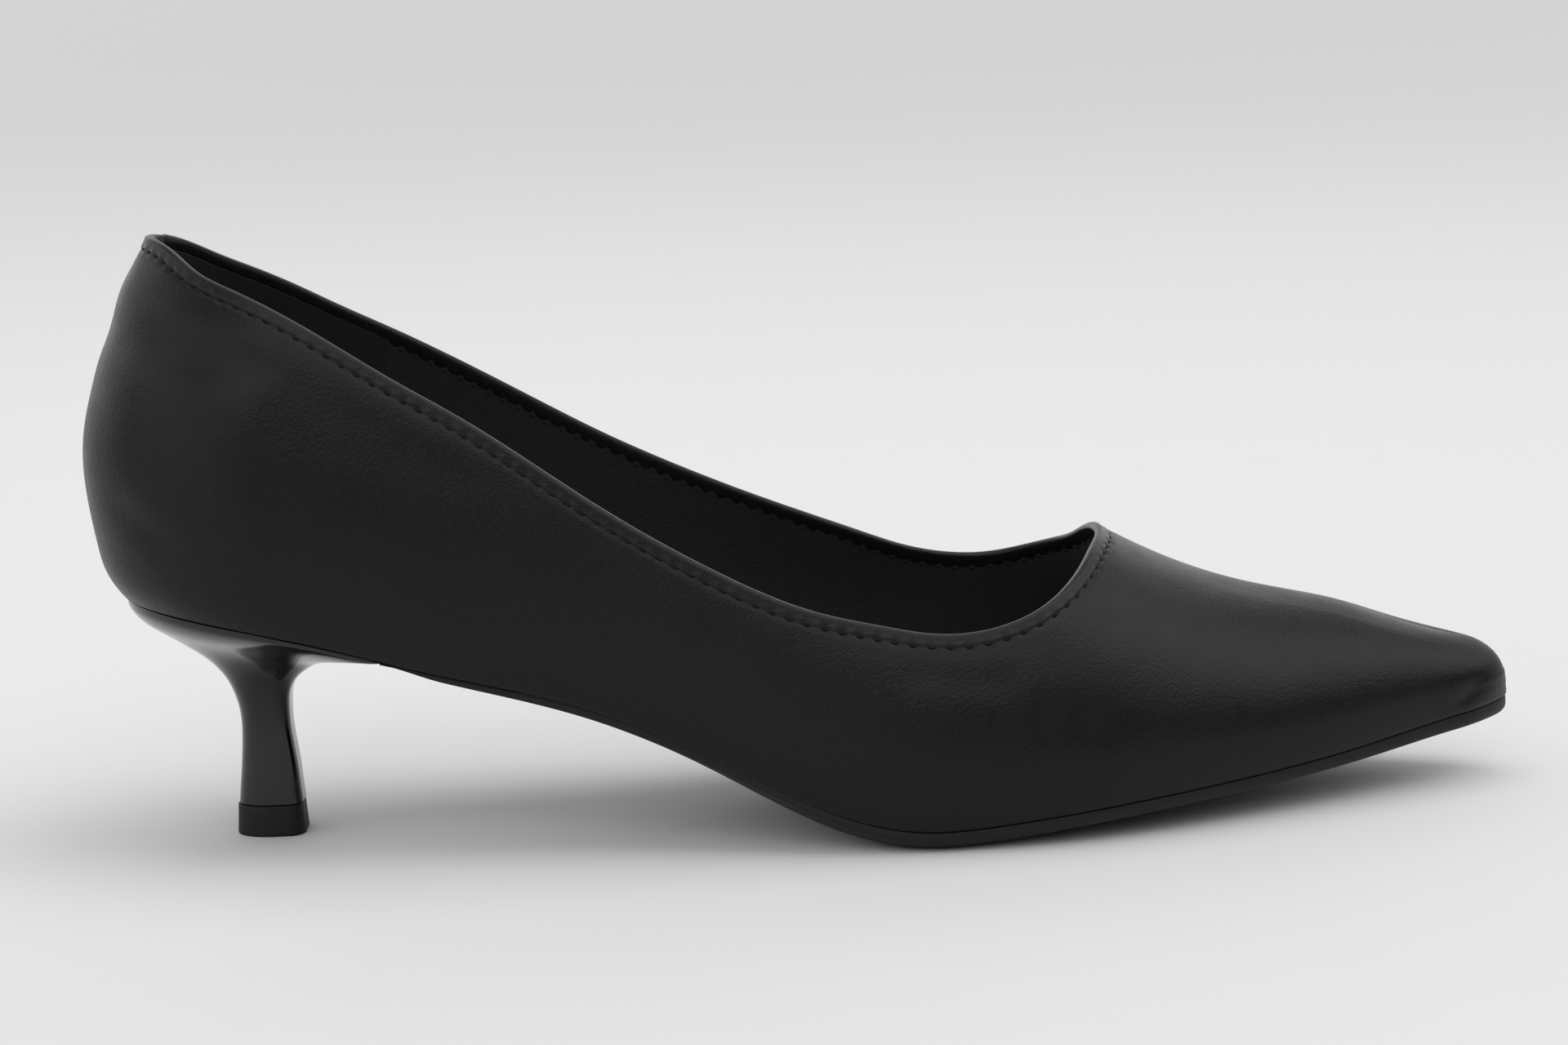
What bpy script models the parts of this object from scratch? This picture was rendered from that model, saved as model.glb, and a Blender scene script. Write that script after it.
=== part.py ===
"""Kitten heel pump, right shoe, standing empty on its heel and its forefoot.

The pieces are the ones that a maker puts together: a hollow lasted upper, the binding around its
topline, the insole, the outsole, the covered heel and the top piece (the lift) under it.

+X runs from heel to toe, +Z up, and -Y is the outer (lateral) side. The origin is the centre of
the top piece's floor face. Everything is in metres.

The upper, binding, insole and outsole all come from one description of the last: a table of
sections along the foot, whose lengths are shares of the named sizes.
"""

import math

import bmesh
import bpy
import numpy as np
from mathutils import Vector

# Main sizes of the last
BOTTOM_LENGTH = 0.2520  # feather line, heel to toe, seen from above
HEEL_OVERHANG = 0.0235  # how far the seat reaches behind the middle of the top piece
BALL_WIDTH = 0.0765
HEEL_WIDTH = 0.0560
HEEL_RISE = 0.0420  # feather line at the back, above the feather line at the ball
TOE_SPRING = 0.0108  # feather line at the toe, above the feather line at the ball
INSTEP_HEIGHT = 0.0430  # crown above the feather line at the throat
BACK_HEIGHT = 0.0645  # topline above the feather line at the back
BACK_CURVE = 0.0060  # how far the back bellies out behind the seat
TOE_SWING = 0.0050  # how far the toe turns in, towards +Y
HEEL_ROUNDING = 0.0320  # length over which the plan closes at the heel
TOE_ROUNDING = 0.0100
TOE_ROLL = 0.0100  # how far the crown stops short of the toe tip
HEEL_LEAN_LENGTH = 0.0850  # length over which the back curve fades out
TOE_LEAN_LENGTH = 0.0400

# Walls and layers
UPPER_WALL = 0.0018
LASTING_MARGIN = 0.0090  # upper turned in under the insole
BINDING_WIDTH = 0.0026
BINDING_PROUD = 0.0002
BINDING_SEAM = 0.0005  # the ditch between the binding and the upper
INSOLE_THICKNESS = 0.0022
SOLE_THICKNESS = 0.0035
SOLE_SETBACK = 0.0015
SOLE_BEVEL = 0.0070  # width of the rise from the tread to the edge of the outsole
FIT_GAP = 0.0003

# Heel and top piece
BREAST_AT = 0.0240  # front edge of the heel's seat
TOP_PIECE_HEIGHT = 0.0056
TOP_PIECE_REAR = 0.0062
TOP_PIECE_FRONT = 0.0065
TOP_PIECE_WIDTH = 0.0106
TOP_PIECE_FLARE = 0.0005
STEM_REAR = 0.0056
STEM_FRONT = 0.0063
STEM_WIDTH = 0.0098

# How finely the forms are stepped
WALL_ROWS = 12
HEEL_STEPS = 7
QUARTER_STEPS = 14
THROAT_STEPS = 7
VAMP_STEPS = 8
TOE_STEPS = 6
HEEL_SIDE_STEPS = 12
THROAT_TURN = 0.087  # share of the length over which the topline turns across the foot

# Sections from heel (0) to toe (1). The rises are shares of HEEL_RISE and TOE_SPRING, the swing
# is a share of TOE_SWING. The widths go by a measure that passes from HEEL_WIDTH (ball 0) to
# BALL_WIDTH (ball 1). The crown is a share of BACK_HEIGHT plus a share of INSTEP_HEIGHT, and the
# girth, where the wall is widest, is a share of the crown.
SECTION_COLUMNS = (
    "along", "heel_rise", "toe_rise", "swing", "ball", "lateral", "medial",
    "girth_lateral", "girth_medial", "girth_height", "back", "instep", "fullness",
)
SECTIONS = (
    (0.00, 1.000, 0.00, 0.00, 0.00, 0.500, 0.482, 0.554, 0.541, 0.295, 1.06, 0.00, 2.20),
    (0.03, 0.982, 0.00, 0.00, 0.00, 0.500, 0.482, 0.554, 0.541, 0.293, 1.065, 0.00, 2.20),
    (0.06, 0.956, 0.00, 0.00, 0.00, 0.500, 0.482, 0.554, 0.541, 0.290, 1.07, 0.00, 2.20),
    (0.13, 0.872, 0.00, 0.00, 0.00, 0.500, 0.473, 0.554, 0.541, 0.274, 1.07, 0.02, 2.20),
    (0.22, 0.715, 0.00, 0.00, 0.00, 0.490, 0.434, 0.546, 0.527, 0.262, 0.95, 0.16, 2.20),
    (0.32, 0.550, 0.00, 0.00, 0.10, 0.470, 0.370, 0.527, 0.491, 0.250, 0.70, 0.45, 2.20),
    (0.42, 0.300, 0.00, 0.00, 0.45, 0.475, 0.364, 0.517, 0.463, 0.240, 0.40, 0.76, 2.20),
    (0.50, 0.078, 0.00, 0.00, 0.80, 0.492, 0.423, 0.518, 0.475, 0.220, 0.20, 0.99, 2.20),
    (0.56, 0.000, 0.00, 0.02, 0.97, 0.498, 0.467, 0.520, 0.500, 0.200, 0.10, 1.10, 2.10),
    (0.61, 0.000, 0.04, 0.08, 1.00, 0.496, 0.493, 0.520, 0.518, 0.190, 0.03, 1.19, 2.05),
    (0.66, 0.000, 0.15, 0.16, 1.00, 0.486, 0.498, 0.510, 0.524, 0.190, 0.00, 1.155, 2.00),
    (0.72, 0.000, 0.27, 0.30, 1.00, 0.445, 0.462, 0.468, 0.487, 0.210, 0.00, 0.942, 1.90),
    (0.80, 0.000, 0.41, 0.52, 1.00, 0.355, 0.372, 0.376, 0.392, 0.240, 0.00, 0.705, 1.85),
    (0.88, 0.000, 0.61, 0.76, 1.00, 0.250, 0.256, 0.267, 0.273, 0.276, 0.00, 0.545, 1.80),
    (0.95, 0.000, 0.85, 0.93, 1.00, 0.147, 0.144, 0.160, 0.157, 0.340, 0.00, 0.38, 1.80),
    (1.00, 0.000, 1.00, 1.00, 1.00, 0.084, 0.084, 0.094, 0.094, 0.360, 0.00, 0.270, 1.80),
)

# The topline seen from each side, as a share of the crown, from the back to the throat.
TOPLINE_COLUMNS = ("along", "lateral", "medial")
TOPLINE = (
    (0.034, 0.952, 0.952),
    (0.052, 0.934, 0.936),
    (0.073, 0.890, 0.898),
    (0.097, 0.859, 0.862),
    (0.152, 0.800, 0.801),
    (0.207, 0.743, 0.773),
    (0.251, 0.701, 0.742),
    (0.334, 0.606, 0.688),
    (0.437, 0.598, 0.740),
    (0.490, 0.628, 0.776),
    (0.540, 0.655, 0.770),
    (0.590, 0.642, 0.708),
    (0.630, 0.672, 0.692),
    (0.660, 0.760, 0.745),
    (0.680, 0.872, 0.816),
    (0.692, 0.955, 0.895),
    (0.700, 1.000, 1.000),
)

# The back seam from the seat (0) to the topline (1): how far forward (+) of the seat it runs.
BACK_SEAM_COLUMNS = ("height", "forward")
BACK_SEAM = (
    (0.00, 0.00), (0.05, -0.38), (0.15, -0.70), (0.30, -0.92), (0.45, -0.90),
    (0.60, -0.50), (0.80, 0.25), (1.00, 1.40),
)

# The outsole: setback of its edge as a share of SOLE_SETBACK, depth at the edge and at the tread
# as shares of SOLE_THICKNESS.
SOLE_COLUMNS = ("along", "setback", "edge_depth", "tread_depth")
SOLE_SECTIONS = (
    (0.18, 0.50, 0.17, 0.32),
    (0.30, 0.80, 0.44, 0.62),
    (0.40, 1.00, 0.42, 0.78),
    (0.48, 0.60, 0.40, 1.00),
    (0.56, 0.15, 0.57, 1.10),
    (0.61, 0.12, 0.57, 1.08),
    (0.72, 0.10, 0.60, 0.88),
    (0.86, 0.10, 0.63, 0.82),
    (1.00, 0.10, 0.76, 0.84),
)

# Rings of the heel from the seat down. The drops are shares of the way from the seat to the top
# piece, behind and in front. The reaches and the spread pass from the stem's foot (0) to the seat.
HEEL_COLUMNS = ("rear_drop", "front_drop", "rear_reach", "front_reach", "spread")
HEEL_RINGS = (
    (0.000, 0.000, 1.000, 1.000, 1.000),
    (0.028, 0.017, 0.990, 1.000, 0.995),
    (0.060, 0.026, 0.955, 0.870, 0.930),
    (0.115, 0.047, 0.850, 0.690, 0.770),
    (0.180, 0.078, 0.650, 0.470, 0.540),
    (0.250, 0.115, 0.430, 0.280, 0.340),
    (0.315, 0.170, 0.240, 0.130, 0.210),
    (0.390, 0.240, 0.090, 0.005, 0.110),
    (0.465, 0.330, 0.000, -0.065, 0.050),
    (0.550, 0.440, -0.055, -0.080, 0.010),
    (0.655, 0.570, -0.072, -0.072, -0.015),
    (0.800, 0.750, -0.050, -0.035, -0.013),
    (0.920, 0.900, -0.020, -0.015, -0.006),
    (1.000, 1.000, 0.000, 0.000, 0.000),
)
HEEL_REAR_SPAN = 0.64  # share of the seat's length taken by its round back
STEM_REAR_SPAN = 0.55
SEAT_CORNER = 0.06  # corner radius as a share of the half width
STEM_CORNER = 0.55

COLOURS = {
    "upper": ((0.016, 0.016, 0.017, 1.0), 0.46),
    "topline_binding": ((0.019, 0.019, 0.020, 1.0), 0.42),
    "insole": ((0.014, 0.014, 0.015, 1.0), 0.60),
    "outsole": ((0.020, 0.020, 0.021, 1.0), 0.50),
    "heel": ((0.010, 0.010, 0.011, 1.0), 0.16),
    "top_piece": ((0.018, 0.018, 0.018, 1.0), 0.70),
}

LATERAL, MEDIAL = -1, 1
HEEL_END = -HEEL_OVERHANG
TOE_END = HEEL_END + BOTTOM_LENGTH
SEAT_TOP_DROP = FIT_GAP
FEATHER_HEIGHT = SOLE_THICKNESS + SEAT_TOP_DROP
STEM_FOOT = TOP_PIECE_HEIGHT + FIT_GAP


def smooth_curve(places, values):
    """Return the natural cubic through the given rows, held constant beyond its ends."""
    places, values = np.array(places, float), np.array(values, float)
    count, step = len(places), np.diff(places)
    system, right = np.eye(count), np.zeros(count)
    for i in range(1, count - 1):
        system[i, i - 1:i + 2] = step[i - 1], 2 * (step[i - 1] + step[i]), step[i]
        right[i] = 6 * ((values[i + 1] - values[i]) / step[i] - (values[i] - values[i - 1]) / step[i - 1])
    bend = np.linalg.solve(system, right)

    def curve(at):
        at = np.clip(at, places[0], places[-1])
        i = np.clip(np.searchsorted(places, at) - 1, 0, count - 2)
        before, after, width = at - places[i], places[i + 1] - at, step[i]
        return (
            (bend[i] * after ** 3 + bend[i + 1] * before ** 3) / (6 * width)
            + (values[i] / width - bend[i] * width / 6) * after
            + (values[i + 1] / width - bend[i + 1] * width / 6) * before
        )

    return curve


def table_curves(columns, rows):
    """Return one smooth curve per column over the table's first column."""
    table = np.array(rows)
    return {name: smooth_curve(table[:, 0], table[:, i]) for i, name in enumerate(columns)}


SECTION = table_curves(SECTION_COLUMNS, SECTIONS)
TOPLINE_SHARE = table_curves(TOPLINE_COLUMNS, TOPLINE)
BACK_FORWARD = table_curves(BACK_SEAM_COLUMNS, BACK_SEAM)["forward"]
SOLE = table_curves(SOLE_COLUMNS, SOLE_SECTIONS)
THROAT_AT = HEEL_END + TOPLINE[-1][0] * BOTTOM_LENGTH


def along(x):
    """Return the share of the bottom's length at x."""
    return (x - HEEL_END) / BOTTOM_LENGTH


def feather(x):
    """Return the height of the feather line at x."""
    at = along(x)
    return FEATHER_HEIGHT + SECTION["heel_rise"](at) * HEEL_RISE + SECTION["toe_rise"](at) * TOE_SPRING


def steepness(x):
    """Return the vertical depth at x of a layer of unit thickness that lies along the feather line."""
    step = 0.0005
    return math.hypot(1.0, (feather(x + step) - feather(x - step)) / (2 * step))


def swing(x):
    """Return the y of the middle of the last at x."""
    return SECTION["swing"](along(x)) * TOE_SWING


def crown_height(x):
    """Return the height of the last's crown above the feather line at x."""
    at = along(x)
    return SECTION["back"](at) * BACK_HEIGHT + SECTION["instep"](at) * INSTEP_HEIGHT


def half_width(x, side, girth=False):
    """Return the plan's half width at x, before its ends are rounded."""
    at = along(x)
    measure = HEEL_WIDTH + SECTION["ball"](at) * (BALL_WIDTH - HEEL_WIDTH)
    name = "lateral" if side == LATERAL else "medial"
    return measure * SECTION["girth_" + name if girth else name](at)


def closing(x):
    """Return how far the plan is open at x: 0 at the two ends, 1 between them."""
    heel = np.clip((x - HEEL_END) / HEEL_ROUNDING, 0.0, 1.0)
    toe = np.clip((TOE_END - x) / TOE_ROUNDING, 0.0, 1.0)
    return np.sqrt(1 - (1 - heel) ** 2) * np.sqrt(1 - (1 - toe) ** 2)


def fade(share):
    """Return a soft step from 0 to 1."""
    share = np.clip(share, 0.0, 1.0)
    return share * share * (3 - 2 * share)


def outline_point(x, side, inset, depth):
    """Return a point of the last's bottom outline, drawn in by inset and depth under the feather line."""
    drawn_in = HEEL_END + inset + (x - HEEL_END) * (BOTTOM_LENGTH - 2 * inset) / BOTTOM_LENGTH
    full = half_width(drawn_in, side)
    half = full - inset / (1 + (inset / full) ** 3) ** (1 / 3)
    level = feather(drawn_in) - depth * steepness(drawn_in)
    return np.array((drawn_in, swing(drawn_in) + side * closing(x) * half, level))


def topline_in_side_view(side):
    """Return the topline seen from the side, as arrays of x and z."""
    name = "lateral" if side == LATERAL else "medial"
    x = np.linspace(HEEL_END - BACK_CURVE, THROAT_AT, 240)
    return x, feather(x) + TOPLINE_SHARE[name](along(x)) * crown_height(x)


def wall_section(x, side):
    """Return the wall's whole section at x, from the feather line up to the crown."""
    at = along(x)
    foot, girth = half_width(x, side), half_width(x, side, girth=True)
    crown = crown_height(x)
    girth_height = crown * SECTION["girth_height"](at)
    fullness = SECTION["fullness"](at)
    low = np.linspace(0, 1, 14)[:-1]
    turn = np.linspace(0, math.pi / 2, 60)
    width = np.concatenate((
        (1 - low) ** 2 * foot + 2 * low * (1 - low) * girth + low ** 2 * girth,
        girth * np.abs(np.cos(turn)) ** (2 / fullness),
    ))
    width[-1] = 0.0
    height = np.concatenate((
        0.6 * low * (1 - low) * girth_height + low ** 2 * girth_height,
        girth_height + (crown - girth_height) * np.sin(turn) ** (2 / fullness),
    ))
    lean_back = 1 - fade((x - HEEL_END) / HEEL_LEAN_LENGTH)
    lean_toe = 1 - fade((TOE_END - x) / TOE_LEAN_LENGTH)
    above_girth = np.where(height > girth_height, 1 - np.clip(width / girth, 0, 1), 0)
    shift = lean_back * BACK_FORWARD(height / BACK_HEIGHT) * BACK_CURVE - lean_toe * TOE_ROLL * above_girth
    return np.stack((x + shift, swing(x) + side * closing(x) * width, feather(x) + height), axis=1)


def spaced(points, shares):
    """Return points at the given shares of a polyline's length."""
    run = np.concatenate(([0], np.cumsum(np.linalg.norm(np.diff(points, axis=0), axis=1))))
    return np.stack([np.interp(np.array(shares) * run[-1], run, points[:, i]) for i in range(3)], axis=1)


def crossing(section, x, edge):
    """Return where a section meets the edge seen from the side: the step before it and a share."""
    edge_x, edge_z = edge
    if x < edge_x[-1] - 1e-6:
        above = section[:, 2] - np.interp(section[:, 0], edge_x, edge_z)
        over = np.nonzero(above > 0)[0]
        if len(over):
            k = over[0]
            return k - 1, above[k - 1] / (above[k - 1] - above[k])
    return len(section) - 2, 1.0


def wall_column(x, side, edge, rows):
    """Return a column of the wall at x, from the feather line to the edge or the crown."""
    section = wall_section(x, side)
    k, share = crossing(section, x, edge)
    section = np.vstack((section[:k + 1], section[k] + share * (section[k + 1] - section[k])))
    return spaced(section, np.linspace(0, 1, rows))


def unit(vector):
    """Return the vector at length 1."""
    return vector / np.linalg.norm(vector)


def edge_frame(x, side, edge):
    """Return the wall's point on the edge at x and the outward normal of the wall there."""
    section = wall_section(x, side)
    k, share = crossing(section, x, edge)
    step = 0.0002
    low, high = max(x - step, HEEL_END), x + step
    ahead, behind = wall_section(high, side), wall_section(low, side)
    lengthwise = (ahead - behind)[k:k + 2].mean(axis=0)
    upwards = section[k + 1] - section[k]
    point = section[k] + share * upwards
    normal = unit(np.cross(lengthwise, upwards)) * -side
    if x <= HEEL_END:
        normal = unit(np.array((normal[0], 0.0, normal[2])))
    return point, normal


def toe_stations():
    """Return the x of the columns that go round the toe."""
    return TOE_END - TOE_ROUNDING * (1 - np.cos(np.linspace(math.pi / 2, 0, TOE_STEPS)))


def stations():
    """Return the x of every section of one side, closer where the plan or the topline turns."""
    heel = HEEL_END + HEEL_ROUNDING * (1 - np.cos(np.linspace(0, math.pi / 2, HEEL_STEPS)))
    near = THROAT_TURN * BOTTOM_LENGTH
    quarter = np.linspace(heel[-1], THROAT_AT - near, QUARTER_STEPS + 1)[1:]
    turn = THROAT_AT - near * (1 - np.linspace(0, 1, THROAT_STEPS + 1)[1:]) ** 1.5
    vamp = np.linspace(THROAT_AT, toe_stations()[0], VAMP_STEPS + 1)[1:]
    return np.concatenate((heel, quarter, turn, vamp, toe_stations()[1:]))


def topline_ribbon():
    """Return the topline as a closed loop: its points, outward normals and downward directions.

    The loop runs from the throat along the lateral side to the back and forward on the medial side.
    """
    xs = stations()
    xs = xs[xs <= THROAT_AT + 1e-9]
    sides = [(LATERAL, x) for x in xs[::-1]] + [(MEDIAL, x) for x in xs[1:-1]]
    edges = {side: topline_in_side_view(side) for side in (LATERAL, MEDIAL)}
    frames = [edge_frame(x, side, edges[side]) for side, x in sides]
    points = np.array([frame[0] for frame in frames])
    normals = np.array([frame[1] for frame in frames])
    normals[0] = unit(normals[0] * (1, 0, 1))
    tangents = np.roll(points, -1, axis=0) - np.roll(points, 1, axis=0)
    down = np.array([unit(np.cross(n, t)) for n, t in zip(normals, tangents)])
    return [side for side, _ in sides], points, normals, down


def lowered_edges(distance):
    """Return, for each side, the line along the wall at a distance below the topline, in side view."""
    sides, points, _, down = topline_ribbon()
    lowered = points + distance * down
    back = sides.index(MEDIAL) - 1
    lines = {LATERAL: lowered[back::-1], MEDIAL: np.vstack((lowered[back:], lowered[:1]))}
    return {side: (line[:, 0], line[:, 2]) for side, line in lines.items()}


def upper_edges():
    """Return the upper's edge under the binding, seen from each side."""
    return lowered_edges(BINDING_WIDTH + BINDING_SEAM)


def stations_at_edge(side, edge):
    """Return the x of the columns whose upper ends fall on the edge's own points."""
    found = [HEEL_END]
    for target in edge[0][1:-1]:
        low, high = found[-1], edge[0][-1]
        for _ in range(30):
            middle = (low + high) / 2
            section = wall_section(middle, side)
            k, share = crossing(section, middle, edge)
            if section[k, 0] + share * (section[k + 1, 0] - section[k, 0]) < target:
                low = middle
            else:
                high = middle
        found.append(high)
    vamp = np.linspace(edge[0][-1], toe_stations()[0], VAMP_STEPS + 1)
    return np.concatenate((found, vamp, toe_stations()[1:]))


def mesh_from_grid(grid, wrap_rows=False, wrap_columns=False, cap_first=False, cap_last=False):
    """Build a mesh from a grid of points, joining points that fall together."""
    rows, columns = len(grid), len(grid[0])
    mesh = bmesh.new()
    verts = [[mesh.verts.new(point) for point in row] for row in grid]
    for i in range(rows if wrap_rows else rows - 1):
        for j in range(columns if wrap_columns else columns - 1):
            a, b = (i + 1) % rows, (j + 1) % columns
            mesh.faces.new((verts[i][j], verts[i][b], verts[a][b], verts[a][j]))
    if cap_first:
        mesh.faces.new(verts[0])
    if cap_last:
        mesh.faces.new(verts[-1])
    bmesh.ops.remove_doubles(mesh, verts=mesh.verts, dist=0.00002)
    bmesh.ops.dissolve_degenerate(mesh, dist=0.00002, edges=mesh.edges)
    return mesh


def face_outwards(mesh):
    """Turn every face of a closed mesh outwards."""
    bmesh.ops.recalc_face_normals(mesh, faces=mesh.faces)
    if mesh.calc_volume(signed=True) < 0:
        bmesh.ops.reverse_faces(mesh, faces=mesh.faces)


def finish_object(name, mesh, collection):
    """Turn a bmesh into a named, shaded object with its own material."""
    data = bpy.data.meshes.new(name)
    mesh.to_mesh(data)
    mesh.free()
    data.shade_smooth()
    data.set_sharp_from_angle(angle=math.radians(40))
    obj = bpy.data.objects.new(name, data)
    collection.objects.link(obj)
    colour, roughness = COLOURS[name]
    material = bpy.data.materials.new(name)
    material.use_nodes = True
    shader = material.node_tree.nodes["Principled BSDF"]
    shader.inputs["Base Color"].default_value = colour
    shader.inputs["Roughness"].default_value = roughness
    shader.inputs["Metallic"].default_value = 0.0
    data.materials.append(material)
    return obj


def make_upper(collection):
    """Make the hollow upper: an open lofted skin with its lasting margin, given a wall inwards."""
    columns = []
    for side, edge in upper_edges().items():
        xs = stations_at_edge(side, edge)
        for x in xs[::-1] if side == LATERAL else xs[1:-1]:
            margin = [outline_point(x, side, share * LASTING_MARGIN, 0) for share in (1.0, 0.5)]
            columns.append(margin + list(wall_column(x, side, edge, WALL_ROWS)))
    mesh = mesh_from_grid(columns, wrap_rows=True)
    upper = finish_object("upper", mesh, collection)
    wall = upper.modifiers.new("wall", "SOLIDIFY")
    wall.thickness = UPPER_WALL
    wall.offset = -1.0
    wall.use_even_offset = True
    wall.use_quality_normals = True
    return upper


def make_binding(collection):
    """Make the rolled binding: a band with a round top, swept along the topline."""
    _, points, normals, down = topline_ribbon()
    half = UPPER_WALL / 2 + BINDING_PROUD
    middle = -UPPER_WALL / 2
    turn = np.linspace(0, math.pi, 5)
    profile = [(BINDING_WIDTH, half)]
    profile += [(half - half * math.sin(angle), half * math.cos(angle)) for angle in turn]
    profile += [(BINDING_WIDTH - BINDING_SEAM, -half)]
    rings = [
        [point + lower * along_wall + normal * (middle + across) for along_wall, across in profile]
        for point, normal, lower in zip(points, normals, down)
    ]
    mesh = mesh_from_grid(rings, wrap_rows=True, wrap_columns=True)
    face_outwards(mesh)
    return finish_object("topline_binding", mesh, collection)


def layer_section(x, levels):
    """Return a closed section across the last at x, from (inset, depth) pairs of each side."""
    lateral = [outline_point(x, LATERAL, inset, depth) for inset, depth in levels]
    medial = [outline_point(x, MEDIAL, inset, depth) for inset, depth in levels]
    return lateral + medial[::-1]


def make_insole(collection):
    """Make the insole: it lies on the lasting margin and fills the space inside its edge."""
    seat = -(UPPER_WALL + FIT_GAP)
    rim = UPPER_WALL + 3 * FIT_GAP
    inside = LASTING_MARGIN + 4 * FIT_GAP
    xs = stations()
    levels = (
        (rim + INSOLE_THICKNESS * 0.2, seat - INSOLE_THICKNESS),
        (rim, seat - INSOLE_THICKNESS * 0.7),
        (rim, seat),
        (inside, seat),
        (inside, -FIT_GAP / 2),
    )
    mesh = mesh_from_grid([layer_section(x, levels) for x in xs], wrap_columns=True)
    face_outwards(mesh)
    return finish_object("insole", mesh, collection)


def sole_levels(x):
    """Return the outsole's side at x as (inset, depth) pairs, from its top edge to its tread."""
    at = along(x)
    setback = SOLE["setback"](at) * SOLE_SETBACK
    edge = SOLE["edge_depth"](at) * SOLE_THICKNESS
    tread = SOLE["tread_depth"](at) * SOLE_THICKNESS
    return (
        (setback, FIT_GAP),
        (setback, FIT_GAP + edge * 0.7),
        (setback + edge * 0.35, FIT_GAP + edge),
        (setback + SOLE_BEVEL * 0.5, FIT_GAP + edge + (tread - edge) * 0.75),
        (setback + SOLE_BEVEL, FIT_GAP + tread),
    )


def sole_stations(start):
    """Return the x of the outsole's sections, with one at each end of its flat spot on the floor."""
    fine = np.linspace(start, TOE_END, 800)
    on_floor = [x for x in fine if outline_point(x, LATERAL, *sole_levels(x)[-1])[2] <= 0]
    flat = np.array((on_floor[0], on_floor[-1]))
    xs = stations()
    apart = np.abs(xs[:, None] - flat).min(axis=1)
    return np.sort(np.concatenate(([start], flat, xs[(xs > start + 0.002) & (apart > 0.002)])))


def make_outsole(collection):
    """Make the outsole from the breast of the heel to the toe; what reaches the floor is flat."""
    start = BREAST_AT + FIT_GAP
    rings = []
    for x in sole_stations(start):
        ring = layer_section(x, sole_levels(x))
        for point in ring:
            point[2] = max(point[2], 0.0)
            if x == start:
                point[0] = start
        rings.append(ring)
    mesh = mesh_from_grid(rings, wrap_columns=True, cap_first=True)
    face_outwards(mesh)
    return finish_object("outsole", mesh, collection)


def heel_half_ring(rear_span, corner, length_ratio):
    """Return one side of a heel ring as (forward, outward) shares, from its back to its breast.

    The back is a quarter ellipse over rear_span, then the side runs straight to a rounded corner.
    corner is its radius as a share of the half width, length_ratio the length over the half width.
    """
    radius = corner / length_ratio
    back = [
        (rear_span * (1 - math.cos(angle)), math.sin(angle))
        for angle in np.linspace(0, math.pi / 2, 24)
    ]
    straight = [(f, o) for f, o in back if f < 1 - radius] + [(1 - radius, 1.0)]
    line = np.array([(f * length_ratio, o, 0.0) for f, o in straight])
    shares = [(f / length_ratio, o) for f, o, _ in spaced(line, np.linspace(0, 1, HEEL_SIDE_STEPS))]
    for angle in np.linspace(0, math.pi / 2, 4)[1:]:
        shares.append((1 - radius * (1 - math.sin(angle)), 1 - corner * (1 - math.cos(angle))))
    return shares


def ring_on_both_sides(half_ring):
    """Return a closed ring from one side's points as a function of the side."""
    return half_ring(LATERAL) + half_ring(MEDIAL)[::-1]


def close_across(mesh, ring):
    """Close a ring with strips that run straight across from its one side to the other."""
    mesh.verts.ensure_lookup_table()
    near = [min(mesh.verts, key=lambda v: (v.co - Vector(point)).length) for point in ring]
    for i in range(len(near) // 2 - 1):
        corners = []
        for vert in (near[i], near[i + 1], near[-2 - i], near[-1 - i]):
            if vert not in corners:
                corners.append(vert)
        if len(corners) > 2:
            mesh.faces.new(corners)


def make_heel(collection):
    """Make the heel: the seat follows the feather line and narrows to the stem."""
    seat_rear, seat_front = HEEL_END + FIT_GAP, BREAST_AT
    seat_z = [feather(x) - SEAT_TOP_DROP for x in (seat_rear, seat_front)]
    rings = []
    for rear_drop, front_drop, rear_reach, front_reach, spread in HEEL_RINGS:
        rear = -STEM_REAR + rear_reach * (seat_rear + STEM_REAR)
        front = STEM_FRONT + front_reach * (seat_front - STEM_FRONT)
        rear_z = seat_z[0] + rear_drop * (STEM_FOOT - seat_z[0])
        front_z = seat_z[1] + front_drop * (STEM_FOOT - seat_z[1])
        seat_share = min(max(spread, 0.0), 1.0)
        rear_span = STEM_REAR_SPAN + seat_share * (HEEL_REAR_SPAN - STEM_REAR_SPAN)
        corner = STEM_CORNER + seat_share * (SEAT_CORNER - STEM_CORNER)

        def half_ring(side):
            """Return one side of this ring."""
            seat_half = half_width(BREAST_AT, side) - FIT_GAP
            half = STEM_WIDTH / 2 + spread * (seat_half - STEM_WIDTH / 2)
            points = []
            for forward, outward in heel_half_ring(rear_span, corner, (front - rear) / half):
                seat_x = seat_rear + forward * (seat_front - seat_rear)
                sag = feather(seat_x) - SEAT_TOP_DROP - (seat_z[0] + forward * (seat_z[1] - seat_z[0]))
                widening = half_width(seat_x, side) / half_width(BREAST_AT, side)
                points.append((
                    rear + forward * (front - rear),
                    side * outward * half * (1 + seat_share * (widening - 1)),
                    rear_z + forward * (front_z - rear_z) + seat_share * sag,
                ))
            return points

        rings.append(ring_on_both_sides(half_ring))
    mesh = mesh_from_grid(rings, wrap_columns=True, cap_last=True)
    close_across(mesh, rings[0])
    face_outwards(mesh)
    return finish_object("heel", mesh, collection)


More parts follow.
